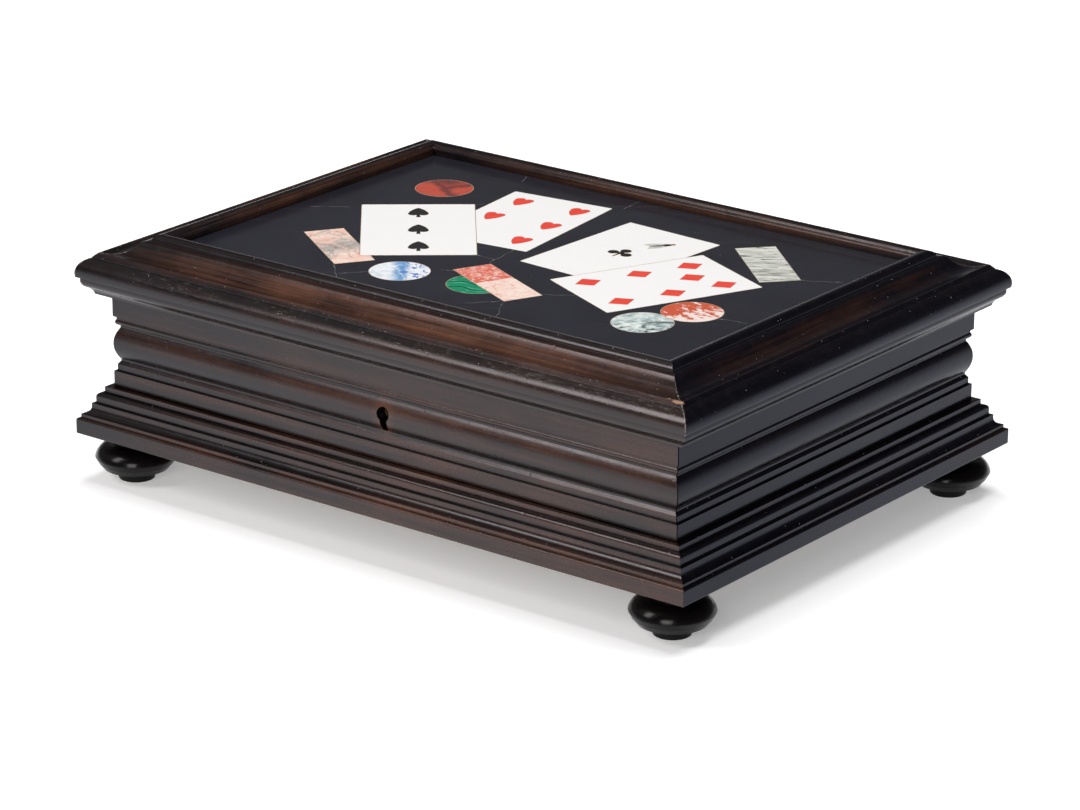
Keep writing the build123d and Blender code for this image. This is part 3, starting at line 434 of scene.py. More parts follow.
# --- feet, boards and metal ---
FOOT_PAD_TOP, FOOT_SOLE_TOP = 6.0, 11.15  # heights below which a foot is duller, in millimetres


def turned_foot(name):
    """Glossy black lacquer over turned wood, duller underneath and on the pad."""
    wood = Finish(name)
    black, soft_black = (0.0020, 0.0018, 0.0020), (0.0070, 0.0048, 0.0045)
    fine = wood.noise(1.2, at=wood.stretched((0.6, 0.6, 3.0)))
    normal, arris = wood.soft_edges(0.3)
    colour = wood.fade(black, soft_black, fine, 0.3, 0.8)
    colour = wood.lay(colour, WORN, arris, wood.span(wood.noise(0.12), 0.55, 0.72), 0.7)
    height = wood.axis("Z")
    pad = wood.span(height, FOOT_PAD_TOP + 0.2, FOOT_PAD_TOP - 0.2)
    sole = wood.span(height, FOOT_SOLE_TOP + 0.25, FOOT_SOLE_TOP - 0.25)
    roughness = wood.span(wood.noise(0.15, 4.0), 0.3, 0.7, 0.16, 0.23)
    roughness = wood.total(roughness, wood.product(sole, 0.08), wood.product(pad, 0.18))
    return wood.surface(colour, roughness, wood.bump(fine, 0.05, 0.35, normal), {"Specular IOR Level": 0.20})


def plain_wood(name, grain, pale, dark, roughness, ring):
    """Planed or polished boards: growth rings drawn out along the grain, fine pores and a little dirt."""
    wood = Finish(name)
    along = wood.stretched(ALONG[grain])
    rings = wood.bands(wood.warped(along, 0.03, 14.0), ring, distortion=4.0, detail=3.0)
    fibres = wood.noise(1.6, 4.0, 0.6, at=along)
    clouds = wood.noise(0.06, 3.0, 0.6, at=along)
    normal, arris = wood.soft_edges(0.3)
    middle = tuple((a + b) / 2 for a, b in zip(pale, dark))
    colour = wood.ramp(rings, (0.0, pale), (0.6, middle), (0.95, dark))
    colour = wood.fade(colour, dark, fibres, 0.45, 0.75, 0.45)
    colour = wood.fade(colour, dimmed(dark, 0.6), clouds, 0.4, 0.75, 0.4)
    colour = wood.lay(colour, dimmed(dark, 0.55), arris, 0.35)
    dullness = wood.span(clouds, 0.3, 0.7, roughness - 0.05, roughness + 0.08)
    return wood.surface(colour, dullness, wood.bump(fibres, 0.10, 0.5, normal))


def metal(name, bright, dull, roughness):
    """Old metal: drawn scratches, tarnish in clouds and bright arrises."""
    work = Finish(name)
    drawn = work.noise(1.5, at=work.stretched((0.15, 4.0, 4.0)))
    clouds = work.noise(0.30, 5.0, 0.65)
    normal, arris = work.soft_edges(0.15)
    colour = work.fade(bright, dull, clouds, 0.38, 0.68)
    colour = work.lay(colour, bright, arris, 0.35)
    dullness = work.total(work.span(clouds, 0.3, 0.7, roughness - 0.08, roughness + 0.16),
                          work.product(drawn, 0.08))
    return work.surface(colour, dullness, work.bump(drawn, 0.03, 0.4, normal), {"Metallic": 1.0})


# --- stone ---
def slate(name):
    """Polished black slate: blue-grey, faintly clouded, with pin-pricks of white and fine scratches."""
    stone = Finish(name)
    deep, light, grain = (0.0120, 0.0125, 0.0175), (0.0180, 0.0190, 0.0260), (0.028, 0.029, 0.036)
    prick, scratch = (0.35, 0.35, 0.36), (0.20, 0.20, 0.21)
    clouds = stone.noise(0.018, 5.0, 0.6)
    fine = stone.noise(0.9, 3.0, 0.6)
    colour = stone.fade(deep, light, clouds, 0.35, 0.7)
    colour = stone.fade(colour, grain, fine, 0.5, 0.8, 0.30)
    pricks = stone.span(stone.cells(0.17), 0.050, 0.025)
    chance = stone.axis("Y", stone.cells(0.17, output="Color"))
    colour = stone.lay(colour, prick, pricks, stone.span(chance, 0.80, 0.84), 0.7)
    drawn_out = stone.warped(stone.turned((0.0, 0.0, 0.0), INLAY_TURN, (0.016, 1.0, 1.0)), 0.02, 6.0)
    scratches = stone.span(stone.noise(0.6, 1.0, at=drawn_out), 0.71, 0.74)
    colour = stone.lay(colour, scratch, scratches, 0.10)
    roughness = stone.span(stone.noise(0.04, 5.0, 0.7), 0.3, 0.7, 0.14, 0.22)
    return stone.surface(colour, roughness, stone.bump(fine, 0.02, 0.12))


def white_marble(name):
    """White marble, barely veined, warmer here and there."""
    stone = Finish(name)
    white, veined, grey = (0.915, 0.905, 0.885), (0.83, 0.825, 0.80), (0.84, 0.82, 0.76)
    warm = (0.85, 0.79, 0.68)
    veil = stone.noise(0.05, 4.0, 0.6, at=stone.warped(stone.place, 0.03, 16.0))
    grain = stone.noise(1.1)
    colour = stone.fade(white, veined, veil, 0.50, 0.75, 0.40)
    colour = stone.fade(colour, grey, grain, 0.60, 0.85, 0.15)
    colour = stone.fade(colour, warm, stone.noise(0.025, 5.0, 0.7), 0.62, 0.80, 0.25)
    return stone.polished(colour, stone.span(veil, 0.3, 0.7, 0.18, 0.26), grain)


def pip_stone(name, deep, light):
    """One plain colour of stone, with a little cloud in it."""
    stone = Finish(name)
    clouds = stone.noise(0.22, 4.0, 0.6)
    colour = stone.fade(deep, light, clouds, 0.35, 0.7)
    return stone.surface(colour, 0.24, stone.bump(clouds, 0.01, 0.2))


# the fly's colours from tail to head
FLY_COLOURS = ((0.0, (0.42, 0.36, 0.26)), (0.25, (0.20, 0.23, 0.25)), (0.50, (0.10, 0.075, 0.055)),
               (0.62, (0.012, 0.007, 0.006)), (0.80, (0.020, 0.010, 0.008)), (0.87, (0.42, 0.22, 0.060)),
               (0.94, (0.018, 0.009, 0.007)))


def fly_body(name, centre):
    """A thin body of dark stone, ochre behind the head and smoky towards the tail."""
    stone = Finish(name)
    along = stone.axis("X", stone.turned(centre, INLAY_TURN))
    colour = stone.ramp(stone.span(along, -6.0, 7.0), *FLY_COLOURS)
    return stone.surface(colour, 0.24, stone.bump(stone.noise(1.2), 0.01, 0.3))


def fly_wings(name):
    """Pale clouded stone, almost the colour of the card, with ochre at its edges."""
    stone = Finish(name)
    pale, grey, ochre = (0.72, 0.72, 0.66), (0.46, 0.50, 0.49), (0.62, 0.40, 0.12)
    clouds = stone.noise(0.5, 4.0, 0.6)
    _, arris = stone.soft_edges(0.35)
    colour = stone.fade(pale, grey, clouds, 0.35, 0.65)
    colour = stone.lay(colour, ochre, arris, stone.span(clouds, 0.36, 0.52))
    return stone.surface(colour, 0.22, stone.bump(clouds, 0.01, 0.2))


def jasper(name, centre):
    """Brick red stone, dark at one side, with smoky veins that fork near the middle."""
    stone = Finish(name)
    brick, bright, smoky = (0.44, 0.058, 0.034), (0.56, 0.100, 0.060), (0.115, 0.032, 0.030)
    local = stone.turned(centre)
    x, y = stone.axis("X", local), stone.axis("Y", local)
    wander = stone.noise(0.16, 4.0, 0.65, at=local)
    drift = stone.product(stone.math("SUBTRACT", wander, 0.5), 10.0)
    slope = stone.total(y, stone.product(x, 0.62), drift)
    fork = stone.total(stone.math("SUBTRACT", x, stone.product(y, 0.55)), drift)
    first = stone.span(stone.math("ABSOLUTE", slope), 5.2, 0.4, smooth=True)
    second = stone.product(stone.span(stone.math("ABSOLUTE", fork), 4.8, 0.4, smooth=True),
                           stone.span(slope, 0.0, 2.0))
    corner = stone.product(stone.span(stone.total(y, drift), 0.0, 8.0), stone.span(x, 8.0, -3.0))
    colour = stone.mix(stone.noise(0.35, 4.0, at=local), brick, bright)
    colour = stone.lay(colour, smoky, stone.largest(first, second, corner), 0.85)
    return stone.polished(colour, 0.22, wander)


def blue_stone(name, centre):
    """White stone with a pale blue stream across its middle and deep blue spots past it."""
    stone = Finish(name)
    white, misty = (0.86, 0.88, 0.90), (0.52, 0.63, 0.70)
    sky, deep = (0.150, 0.340, 0.600), (0.030, 0.110, 0.540)
    flow = stone.warped(stone.turned(centre, -52.0, (0.60, 1.0, 1.0)), 0.11, 8.0)
    across = stone.axis("Y", flow)
    stream = stone.span(stone.gap(across, 0.5), 5.5, 1.5)
    mottle = stone.noise(0.26, 5.0, 0.68, at=flow)
    colour = stone.fade(white, misty, mottle, 0.46, 0.66, 0.8)
    colour = stone.lay(colour, sky, stream, stone.span(mottle, 0.36, 0.50))
    spots = stone.span(stone.noise(0.40, 3.0, 0.5, at=flow), 0.56, 0.60)
    colour = stone.lay(colour, deep, spots, stone.span(across, 0.5, 4.0), 0.95)
    return stone.polished(colour, 0.20, mottle)


def malachite(name, centre):
    """Vivid green, crossed by dark wavy bands and a pale thread or two."""
    stone = Finish(name)
    green, bright = (0.0010, 0.200, 0.090), (0.003, 0.310, 0.150)
    dark, pale = (0.0005, 0.045, 0.024), (0.36, 0.62, 0.48)
    flow = stone.warped(stone.turned(centre, 20.0), 0.06, 4.0)
    ripple = stone.product(stone.math("SINE", stone.product(stone.axis("X", flow), 0.33)), 1.7)
    level = stone.product(stone.total(stone.axis("Y", flow), ripple), 0.13)
    wave = stone.gap(stone.math("FRACT", level), 0.5)
    shade = stone.noise(0.16, at=flow)
    colour = stone.mix(shade, green, bright)
    colour = stone.fade(colour, dark, wave, 0.10, 0.03, 0.9)
    thread = stone.span(stone.gap(wave, 0.235), 0.030, 0.012)
    colour = stone.lay(colour, pale, thread, stone.span(stone.noise(0.2, 2.0, at=flow), 0.48, 0.60), 0.8)
    return stone.surface(colour, 0.20, stone.bump(shade, 0.005, 0.1))


# rust spots of the pink breccia: millimetres from its centre, and radii
RUST_SPOTS = ((2.5, -2.6, 1.5), (-2.2, 2.8, 1.3))


def pink_breccia(name, centre, turn):
    """Pink marble with grey clouds and threads gathered round its middle, and two rust spots."""
    stone = Finish(name)
    pink, pale, grey = (0.87, 0.56, 0.45), (0.90, 0.72, 0.62), (0.32, 0.33, 0.31)
    dark, rust = (0.16, 0.17, 0.18), (0.46, 0.135, 0.075)
    local = stone.turned(centre, turn)
    flow = stone.warped(local, 0.13, 8.0)
    clouds = stone.noise(0.17, 5.0, 0.66, at=flow)
    belt = stone.span(stone.math("ABSOLUTE", stone.axis("X", flow)), 15.0, 3.0)
    colour = stone.fade(pink, pale, stone.noise(0.12, 4.0, 0.6, at=local), 0.40, 0.62)
    colour = stone.lay(colour, grey, belt, stone.span(clouds, 0.37, 0.50), 0.80)
    threads = stone.span(stone.cells(0.13, "DISTANCE_TO_EDGE", at=flow), 0.07, 0.0)
    gathered = stone.span(stone.noise(0.10, at=local), 0.44, 0.54, 0.0, 0.7)
    colour = stone.lay(colour, dark, threads, gathered, 0.85)
    ragged = stone.warped(local, 0.6, 1.6)
    for x, y, radius in RUST_SPOTS:
        spot = stone.span(stone.vector("DISTANCE", ragged, (x, y, 0.0)), radius * 1.3, radius * 0.6)
        colour = stone.mix(spot, colour, rust)
    return stone.polished(colour, 0.23, clouds)


def grey_breccia(name, centre):
    """Pale grey-green stone with clouded patches, black flecks and one long dark streak."""
    stone = Finish(name)
    pale, grey, black = (0.80, 0.86, 0.82), (0.33, 0.43, 0.42), (0.030, 0.042, 0.042)
    local = stone.turned(centre, INLAY_TURN, (0.62, 1.0, 1.0))
    flow = stone.warped(local, 0.14, 6.0)
    clouds = stone.noise(0.26, 5.0, 0.68, at=flow)
    colour = stone.fade(pale, grey, clouds, 0.40, 0.60)
    flecks = stone.product(stone.span(stone.noise(0.55, 4.0, 0.6, at=flow), 0.53, 0.59),
                           stone.span(stone.axis("Y", local), 4.0, -8.0, 0.10, 1.0))
    streak = stone.product(stone.span(stone.math("ABSOLUTE", stone.axis("Y", flow)), 2.0, 1.0),
                           stone.span(stone.axis("X", local), 0.0, 2.0), 0.85)
    colour = stone.lay(colour, black, stone.largest(flecks, streak), 0.9)
    return stone.polished(colour, 0.22, clouds)


def veined_red(name, centre):
    """Brick red marble torn by white veins that gather towards one side."""
    stone = Finish(name)
    brick, bright, white = (0.52, 0.072, 0.028), (0.66, 0.130, 0.060), (0.89, 0.76, 0.69)
    flow = stone.warped(stone.turned(centre, -12.0, (0.42, 1.0, 1.0)), 0.12, 8.0)
    torn = stone.noise(0.25, 6.0, 0.72, 0.5, at=flow)
    pull = stone.span(stone.axis("X", stone.turned(centre, -20.0)), -16.0, 13.0, -0.10, 0.10)
    red = stone.mix(stone.noise(0.5, at=flow), brick, bright)
    colour = stone.fade(red, white, stone.total(torn, pull), 0.50, 0.55)
    return stone.polished(colour, 0.22, torn)


def rose_marble(name, centre, turn):
    """Salmon marble: red and broken at one end, pale past a dark line, with a few red threads."""
    stone = Finish(name)
    red, salmon, rose = (0.70, 0.125, 0.075), (0.88, 0.58, 0.50), (0.88, 0.57, 0.47)
    pale, line, thread = (0.91, 0.76, 0.67), (0.62, 0.105, 0.065), (0.74, 0.210, 0.130)
    flow = stone.warped(stone.turned(centre, turn), 0.11, 5.0)
    along = stone.axis("X", flow)
    torn = stone.noise(0.30, 6.0, 0.72, 0.8, at=flow)
    broken_end = stone.fade(red, salmon, torn, 0.46, 0.60)
    pale_end = stone.fade(pale, rose, torn, 0.42, 0.66)
    colour = stone.fade(pale_end, broken_end, along, -3.0, -4.2)
    from_line = stone.math("ABSOLUTE", stone.total(along, 4.6))
    colour = stone.lay(colour, line, stone.span(from_line, 1.2, 0.3), 0.7)
    lace = stone.span(stone.cells(0.13, "DISTANCE_TO_EDGE", at=flow), 0.05, 0.0)
    colour = stone.lay(colour, thread, lace, stone.span(torn, 0.42, 0.54), 0.7)
    return stone.polished(colour, 0.22, torn)


def banded_grey(name, centre, turn):
    """Grey-green marble with dark dashes drawn across it."""
    stone = Finish(name)
    dark, grey, pale = (0.20, 0.21, 0.19), (0.50, 0.51, 0.45), (0.74, 0.74, 0.67)
    knot, speck = (0.060, 0.068, 0.062), (0.16, 0.17, 0.155)
    flow = stone.warped(stone.turned(centre, turn, (1.0, 0.15, 1.0)), 0.16, 2.0)
    lines = stone.noise(0.42, 5.0, 0.66, at=flow)
    colour = stone.ramp(lines, (0.36, dark), (0.45, grey), (0.58, pale))
    knots = stone.noise(0.36, 4.0, 0.6, at=stone.vector("MULTIPLY", flow, (1.0, 1.4, 1.0)))
    colour = stone.lay(colour, knot, stone.span(knots, 0.60, 0.68), 0.9)
    colour = stone.fade(colour, speck, stone.noise(1.1, 3.0, 0.6, at=flow), 0.56, 0.70, 0.45)
    return stone.polished(colour, 0.24, lines)


def mastic(name):
    """The yellowish filler that the stones are bedded in."""
    filler = Finish(name)
    grain = filler.noise(1.4)
    colour = filler.mix(grain, (0.30, 0.19, 0.10), (0.62, 0.50, 0.35))
    return filler.surface(colour, 0.6, filler.bump(grain, 0.02, 0.4))


def hairline(name):
    """Pale dust in a crack of the slate, brighter here and there."""
    line = Finish(name)
    dark, grey, pale = (0.050, 0.050, 0.055), (0.16, 0.155, 0.15), (0.42, 0.40, 0.37)
    broken = line.noise(0.25, 4.0, 0.6)
    return line.surface(line.ramp(broken, (0.35, dark), (0.52, grey), (0.68, pale)), 0.6)


# --- dressing the solids ---
# each wood: name, pale and dark colour, roughness, rings to a millimetre, and the axis of each timber's grain
WOODS = (
    ("Planed softwood", (0.42, 0.27, 0.145), (0.24, 0.135, 0.062), 0.62, 0.06,
     {"bottom_board": "X", "top_board": "X", "strike_rail": "X", "drawer_stops": "X",
      "runner_left": "Y", "runner_right": "Y"}),
    ("Polished hardwood", (0.200, 0.078, 0.034), (0.085, 0.030, 0.014), 0.34, 0.04,
     {"drawer_side_left": "Y", "drawer_side_right": "Y", "drawer_back": "X", "drawer_panel": "X",
      "divider_left": "Y", "divider_right": "Y", "divider_cross_left": "X", "divider_cross_middle": "X",
      "divider_cross_right": "X"}),
)
# each metal: name, bright and dull colour, roughness, and what is made of it
METALS = (
    ("Old brass", (0.62, 0.42, 0.16), (0.30, 0.18, 0.07), 0.32,
     ("lock_plate", "lock_case", "lock_bolt", "strike_plate")),
    ("Old steel", (0.42, 0.40, 0.38), (0.16, 0.13, 0.11), 0.36,
     ("lock_drill_pin", "lock_screws", "top_screws", "bottom_screws")),
)
# inlaid stones with a drawing of their own: node, finish, its name, and the turn of those that need one
DRAWN_STONES = (
    ("counter_red", jasper, "Red jasper"),
    ("counter_blue", blue_stone, "Blue and white stone"),
    ("counter_green", malachite, "Malachite"),
    ("counter_grey", grey_breccia, "Grey breccia"),
    ("counter_veined", veined_red, "Red and white marble"),
    ("marker_left", pink_breccia, "Pink breccia", -34.0),
    ("marker_front", rose_marble, "Rose marble", -25.3),
    ("marker_right", banded_grey, "Banded grey marble", -53.0),
    ("insect_body", fly_body, "Dark stone of the fly"),
)


def dress(material, *nodes):
    """Gives these nodes a material in place of what they were packed with."""
    for node in nodes:
        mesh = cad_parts[node].data
        mesh.materials.clear()
        mesh.materials.append(material)
        mesh.polygons.foreach_set("material_index", [0] * len(mesh.polygons))


def centre_of(node):
    """The middle of a node's box, in millimetres."""
    low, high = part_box(node)
    return tuple((low + high) / 2 / MM)


def factor(name, description, default, low=0.0, high=2.0):
    return bpy.props.FloatProperty(name=name, description=description, default=default, min=low, max=high,
                                   subtype="FACTOR")


def length(name, description, default):
    return bpy.props.FloatProperty(name=name, description=description, default=default, min=0.0,
                                   unit="LENGTH")


def angle(name, description, degrees):
    return bpy.props.FloatProperty(name=name, description=description, default=radians(degrees),
                                   subtype="ANGLE", unit="ROTATION")


class CardBoxFinish(bpy.types.PropertyGroup):
    wear: factor("Wear", "How far the stain of the front is rubbed through", 1.0)
    side_wear: factor("Side wear", "How far the stain of the right side is rubbed through", 0.22)
    far_wear: factor("Far wear", "How far the stain of the back and left is rubbed through", 0.62)
    roughness: factor("Roughness", "Roughness of the waxed wood", 0.22, 0.1, 0.8)


class CardBoxJoints(bpy.types.PropertyGroup):
    width: length("Mastic width", "Width of the pale line round each inlaid stone", 0.24 * MM)
    proud: length("Mastic height", "How far the line stands above the slab", 0.015 * MM)
    crack_width: length("Crack width", "Width of the hairline cracks in the slate", 0.22 * MM)


class CardBoxStage(bpy.types.PropertyGroup):
    focal_length: bpy.props.FloatProperty(
        name="Focal length", description="Lens of the camera, in millimetres on a 36 mm sensor",
        default=147.81)
    eye: bpy.props.FloatVectorProperty(
        name="Camera place", description="Where the camera stands", default=(1.2501, -1.6374, 0.7732),
        subtype="TRANSLATION", unit="LENGTH")
    azimuth: angle("Azimuth", "Turn of the view from straight along +Y", 37.384)
    elevation: angle("Elevation", "How far the camera looks down", 19.551)
    roll: angle("Roll", "Tilt of the camera about its own axis", 0.3346)
    floor_size: length("Floor", "Side of the pale floor", 24.0)


class CARDBOX_OT_mouldings(bpy.types.Operator):
    """Finish the mouldings of base, walls, drawer front and top in worn black stain"""
    bl_idname = "cardbox.mouldings"
    bl_label = "Finish the mouldings"

    def execute(self, context):
        look = context.scene.card_box_finish
        # each side's gloss, shine tint and cool stain are painted light
        for side, (wear, rougher, *painted_side_light) in SIDES.items():
            wall = "drawer_front" if side == "front" else f"wall_{side}"
            roughness = look.roughness + rougher
            wood = ebonised(f"Ebonised wood, {side}", side, getattr(look, wear), roughness, *painted_side_light)
            dress(wood, f"base_{side}", wall, f"top_{side}")
        return {"FINISHED"}


class CARDBOX_OT_feet(bpy.types.Operator):
    """Finish the turned feet in glossy black"""
    bl_idname = "cardbox.feet"
    bl_label = "Finish the feet"

    def execute(self, context):
        dress(turned_foot("Black lacquer"), *[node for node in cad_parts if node.startswith("foot_")])
        return {"FINISHED"}


class CARDBOX_OT_carcase(bpy.types.Operator):
    """Finish the hidden boards, the drawer's timbers and the lock"""
    bl_idname = "cardbox.carcase"
    bl_label = "Finish the carcase, drawer and lock"

    def execute(self, context):
        for kind, *look, timbers in WOODS:
            for grain in "XY":
                wood = plain_wood(f"{kind} {grain}", grain, *look)
                dress(wood, *[node for node, runs in timbers.items() if runs == grain])
        for kind, *look, parts in METALS:
            dress(metal(kind, *look), *parts)
        return {"FINISHED"}


class CARDBOX_OT_stones(bpy.types.Operator):
    """Finish the slab and every inlaid stone"""
    bl_idname = "cardbox.stones"
    bl_label = "Finish the stones"

    def execute(self, context):
        dress(slate("Black slate"), "slate_slab")
        dress(white_marble("White marble"), *CARDS)
        black = pip_stone("Black stone", (0.008, 0.008, 0.009), (0.018, 0.018, 0.019))
        red = pip_stone("Red stone", (0.84, 0.070, 0.045), (0.76, 0.056, 0.036))
        dress(black, "pips_spades", "pip_club")
        dress(red, "pips_hearts", "pips_diamonds")
        for node, finish, name, *turn in DRAWN_STONES:
            dress(finish(name, centre_of(node), *turn), node)
        dress(fly_wings("Pale stone of the fly"), "insect_wings")
        return {"FINISHED"}


# --- mastic and cracks ---
def outline_of(node):
    """A mesh of the bare edges round a node's top face."""
    outline = bmesh.new()
    outline.from_mesh(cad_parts[node].data)
    bmesh.ops.remove_doubles(outline, verts=outline.verts, dist=0.001 * MM)
    level = SLAB_TOP - 0.01 * MM
    top = [face for face in outline.faces if all(vertex.co.z > level for vertex in face.verts)]
    rim = [edge for edge in {e for face in top for e in face.edges}
           if sum(face in top for face in edge.link_faces) == 1]
    points = {vertex: Vector(vertex.co) for edge in rim for vertex in edge.verts}
    order = {vertex: i for i, vertex in enumerate(points)}
    mesh = bpy.data.meshes.new(f"{node}_outline")
    mesh.from_pydata(list(points.values()), [tuple(order[v] for v in edge.verts) for edge in rim], [])
    outline.free()
    return mesh


def joined_mesh(name, meshes):
    whole = bmesh.new()
    for mesh in meshes:
        whole.from_mesh(mesh)
    result = bpy.data.meshes.new(name)
    whole.to_mesh(result)
    whole.free()
    return result


def wavering(ribbon, path):
    """The path cut into short lengths that wander on the level, as a crack does."""
    step, reach = 0.7 * MM, 3.2 * MM
    short = ribbon.add("GeometryNodeResampleCurve", {"Curve": path, "Length": step}, mode="LENGTH")
    wander = ribbon.noise(160.0, detail=4.0, roughness=0.5, colour=True)
    centred = ribbon.vector("SUBTRACT", wander, (0.5, 0.5, 0.5))
    offset = ribbon.vector("MULTIPLY", centred, (reach, reach, 0.0))
    inputs = {"Geometry": short.outputs[0], "Offset": offset}
    return ribbon.add("GeometryNodeSetPosition", inputs).outputs[0]


def ribbon_tree(name, wander=False):
    """Geometry nodes that lay a flat strip along edges, and finish it."""
    group = bpy.data.node_groups.new(name, "GeometryNodeTree")
    for key, kind in (("Geometry", "Geometry"), ("Width", "Float"), ("Thickness", "Float"),
                      ("Finish", "Material")):
        group.interface.new_socket(key, in_out="INPUT", socket_type=f"NodeSocket{kind}")
    group.interface.new_socket("Geometry", in_out="OUTPUT", socket_type="NodeSocketGeometry")
    ribbon = Nodes(group)
    start = ribbon.add("NodeGroupInput").outputs
    path = ribbon.add("GeometryNodeMeshToCurve", {0: start["Geometry"]}).outputs[0]
    if wander:
        path = wavering(ribbon, path)
    upright = ribbon.add("GeometryNodeSetCurveNormal", {"Curve": path}, mode="Z_UP")
    section = ribbon.add("GeometryNodeCurvePrimitiveQuadrilateral",
                         {"Width": start["Width"], "Height": start["Thickness"]})
    sweep = ribbon.add("GeometryNodeCurveToMesh", {"Curve": upright.outputs[0],
                                                   "Profile Curve": section.outputs[0], "Fill Caps": True})
    real = ribbon.add("GeometryNodeRealizeInstances", {0: sweep.outputs[0]})
    finish = ribbon.add("GeometryNodeSetMaterial", {"Geometry": real.outputs[0], "Material": start["Finish"]})
    ribbon.add("NodeGroupOutput", {0: finish.outputs[0]})
    return group


def run_tree(name, mesh, tree, **values):
    """A plain mesh object made by a tree from a mesh; the tree's inputs are set by their names."""
    source = bpy.data.objects.new(name, mesh)
    bpy.context.scene.collection.objects.link(source)
    modifier = source.modifiers.new("Making", "NODES")
    modifier.node_group = tree
    for item in tree.interface.items_tree:
        if item.in_out == "INPUT" and item.name in values:
            modifier[item.identifier] = values[item.name]
    bpy.context.view_layer.update()
    seen = source.evaluated_get(bpy.context.evaluated_depsgraph_get())
    made = bpy.data.meshes.new_from_object(seen)
    made.name = name
    source.modifiers.clear()
    source.data = made
    return source


MASTIC_THICKNESS = 0.3 * MM


class CARDBOX_OT_mastic(bpy.types.Operator):
    """Lay the pale mastic line round every inlaid stone"""
    bl_idname = "cardbox.mastic"
    bl_label = "Lay the mastic lines"

    def execute(self, context):
        size = context.scene.card_box_joints
        mesh = joined_mesh("mastic_outlines", [outline_of(node) for node in INLAY])
        mesh.transform(Matrix.Translation((0, 0, size.proud - MASTIC_THICKNESS / 2)))
        lines = run_tree("mastic_lines", mesh, ribbon_tree("Mastic line"), Width=size.width,
                         Thickness=MASTIC_THICKNESS, Finish=mastic("Pale mastic"))
        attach(lines, "case")
        return {"FINISHED"}


# the points of each crack on the slab, in millimetres
CRACKS = (
    ((-141, -10), (-132, -3.4), (-123.5, 3)), ((-82, 41), (-74, 48)), ((-26, -21), (-13, -20.6)),
    ((-15, -3.6), (-13.8, -14), (-12.4, -26)), ((37.6, -50), (44, -46.4), (51, -42)),
    ((30.6, -71.2), (36, -80), (42, -91)), ((-70.6, -74.4), (-63, -82), (-55, -90.6)),
    ((-49.5, -74), (-54, -80), (-58, -85)), ((-23, -50), (-13, -44)), ((124.5, -28), (131, -26), (139, -25)),
    ((120, 43.4), (129, 48), (140, 54.6)), ((-87, 100), (-83.5, 91)), ((-15.4, 100), (-14.2, 84.8)),
    ((32, -64), (26, -73), (17, -84)),
)
CRACK_THICKNESS, CRACK_PROUD = 0.05 * MM, 0.012 * MM


class CARDBOX_OT_cracks(bpy.types.Operator):
    """Draw the hairline cracks of the slate"""
    bl_idname = "cardbox.cracks"
    bl_label = "Draw the hairline cracks"

    def execute(self, context):
        size = context.scene.card_box_joints
        level = SLAB_TOP + CRACK_PROUD - CRACK_THICKNESS / 2
        points, edges = [], []
        for crack in CRACKS:
            first = len(points)
            points += [(x * MM, y * MM, level) for x, y in crack]
            edges += [(first + i, first + i + 1) for i in range(len(crack) - 1)]
        mesh = bpy.data.meshes.new("crack_lines")
        mesh.from_pydata(points, edges, [])
        lines = run_tree("slate_hairlines", mesh, ribbon_tree("Hairline", wander=True),
                         Width=size.crack_width, Thickness=CRACK_THICKNESS, Finish=hairline("Dusty hairline"))
        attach(lines, "case")
        return {"FINISHED"}


# --- stage ---
# name, place, what it points at, width, height, watts and colour
LAMPS = (
    ("Overhead softbox", (0.05, 0.30, 2.2), (0, 0, 0.05), 1.5, 1.2, 44.0, (0.99, 0.99, 1.0)),
    ("Fill beside the camera", (0.9, -2.1, 0.95), (0, 0, 0.05), 1.0, 0.8, 18.0, (1.0, 0.98, 0.96)),
    ("Left softbox", (-0.58, -0.98, 0.92), (0.1, -0.1, 0.10), 0.36, 0.62, 5.6, (1.0, 0.96, 0.95)),
)
FLOOR_GREY, FLOOR_GLOW = (0.80, 0.80, 0.80), 0.31
# light of the room by the sine of the height above the horizon
ROOM = ((0.0, 1.0), (0.02, 0.9), (0.09, 0.24), (0.18, 0.12), (0.34, 0.09), (0.60, 0.03), (1.0, 0.08))
# the paler wall: where it lies, the cosines between which it comes in, and its light
WALL_DIRECTION, WALL_EDGE, WALL_GLOW = (-0.60, -0.26, 0.757), (0.72, 0.97), 0.22


def softbox(name, place, aim, width, height, power, colour):
    """A rectangular lamp at a place, pointed at another."""
    lamp = bpy.data.lights.new(name, "AREA")
    lamp.shape = "RECTANGLE"
    lamp.size, lamp.size_y = width, height
    lamp.energy = power
    lamp.color = colour
    holder = bpy.data.objects.new(name, lamp)
    turn = (Vector(aim) - Vector(place)).to_track_quat("-Z", "Y")
    holder.matrix_world = Matrix.Translation(place) @ turn.to_matrix().to_4x4()
    bpy.context.scene.collection.objects.link(holder)


def pale_floor(name):
    """White to the camera and in reflections, with the shadow kept; plain pale to every other ray."""
    material = fresh_material(name)
    floor = Nodes(material.node_tree)
    rays = floor.add("ShaderNodeLightPath").outputs
    seen = floor.largest(rays["Is Camera Ray"], rays["Is Glossy Ray"], rays["Is Transmission Ray"])
    plain = floor.add("ShaderNodeBsdfDiffuse", {"Color": FLOOR_GREY})
    bright = floor.add("ShaderNodeBsdfDiffuse", {"Color": WHITE})
    glow = floor.add("ShaderNodeEmission", {"Strength": FLOOR_GLOW})
    lifted = floor.add("ShaderNodeAddShader", {0: bright.outputs[0], 1: glow.outputs[0]})
    choice = floor.add("ShaderNodeMixShader", {0: seen, 1: plain.outputs[0], 2: lifted.outputs[0]})
    floor.add("ShaderNodeOutputMaterial", {"Surface": choice.outputs[0]})
    return material


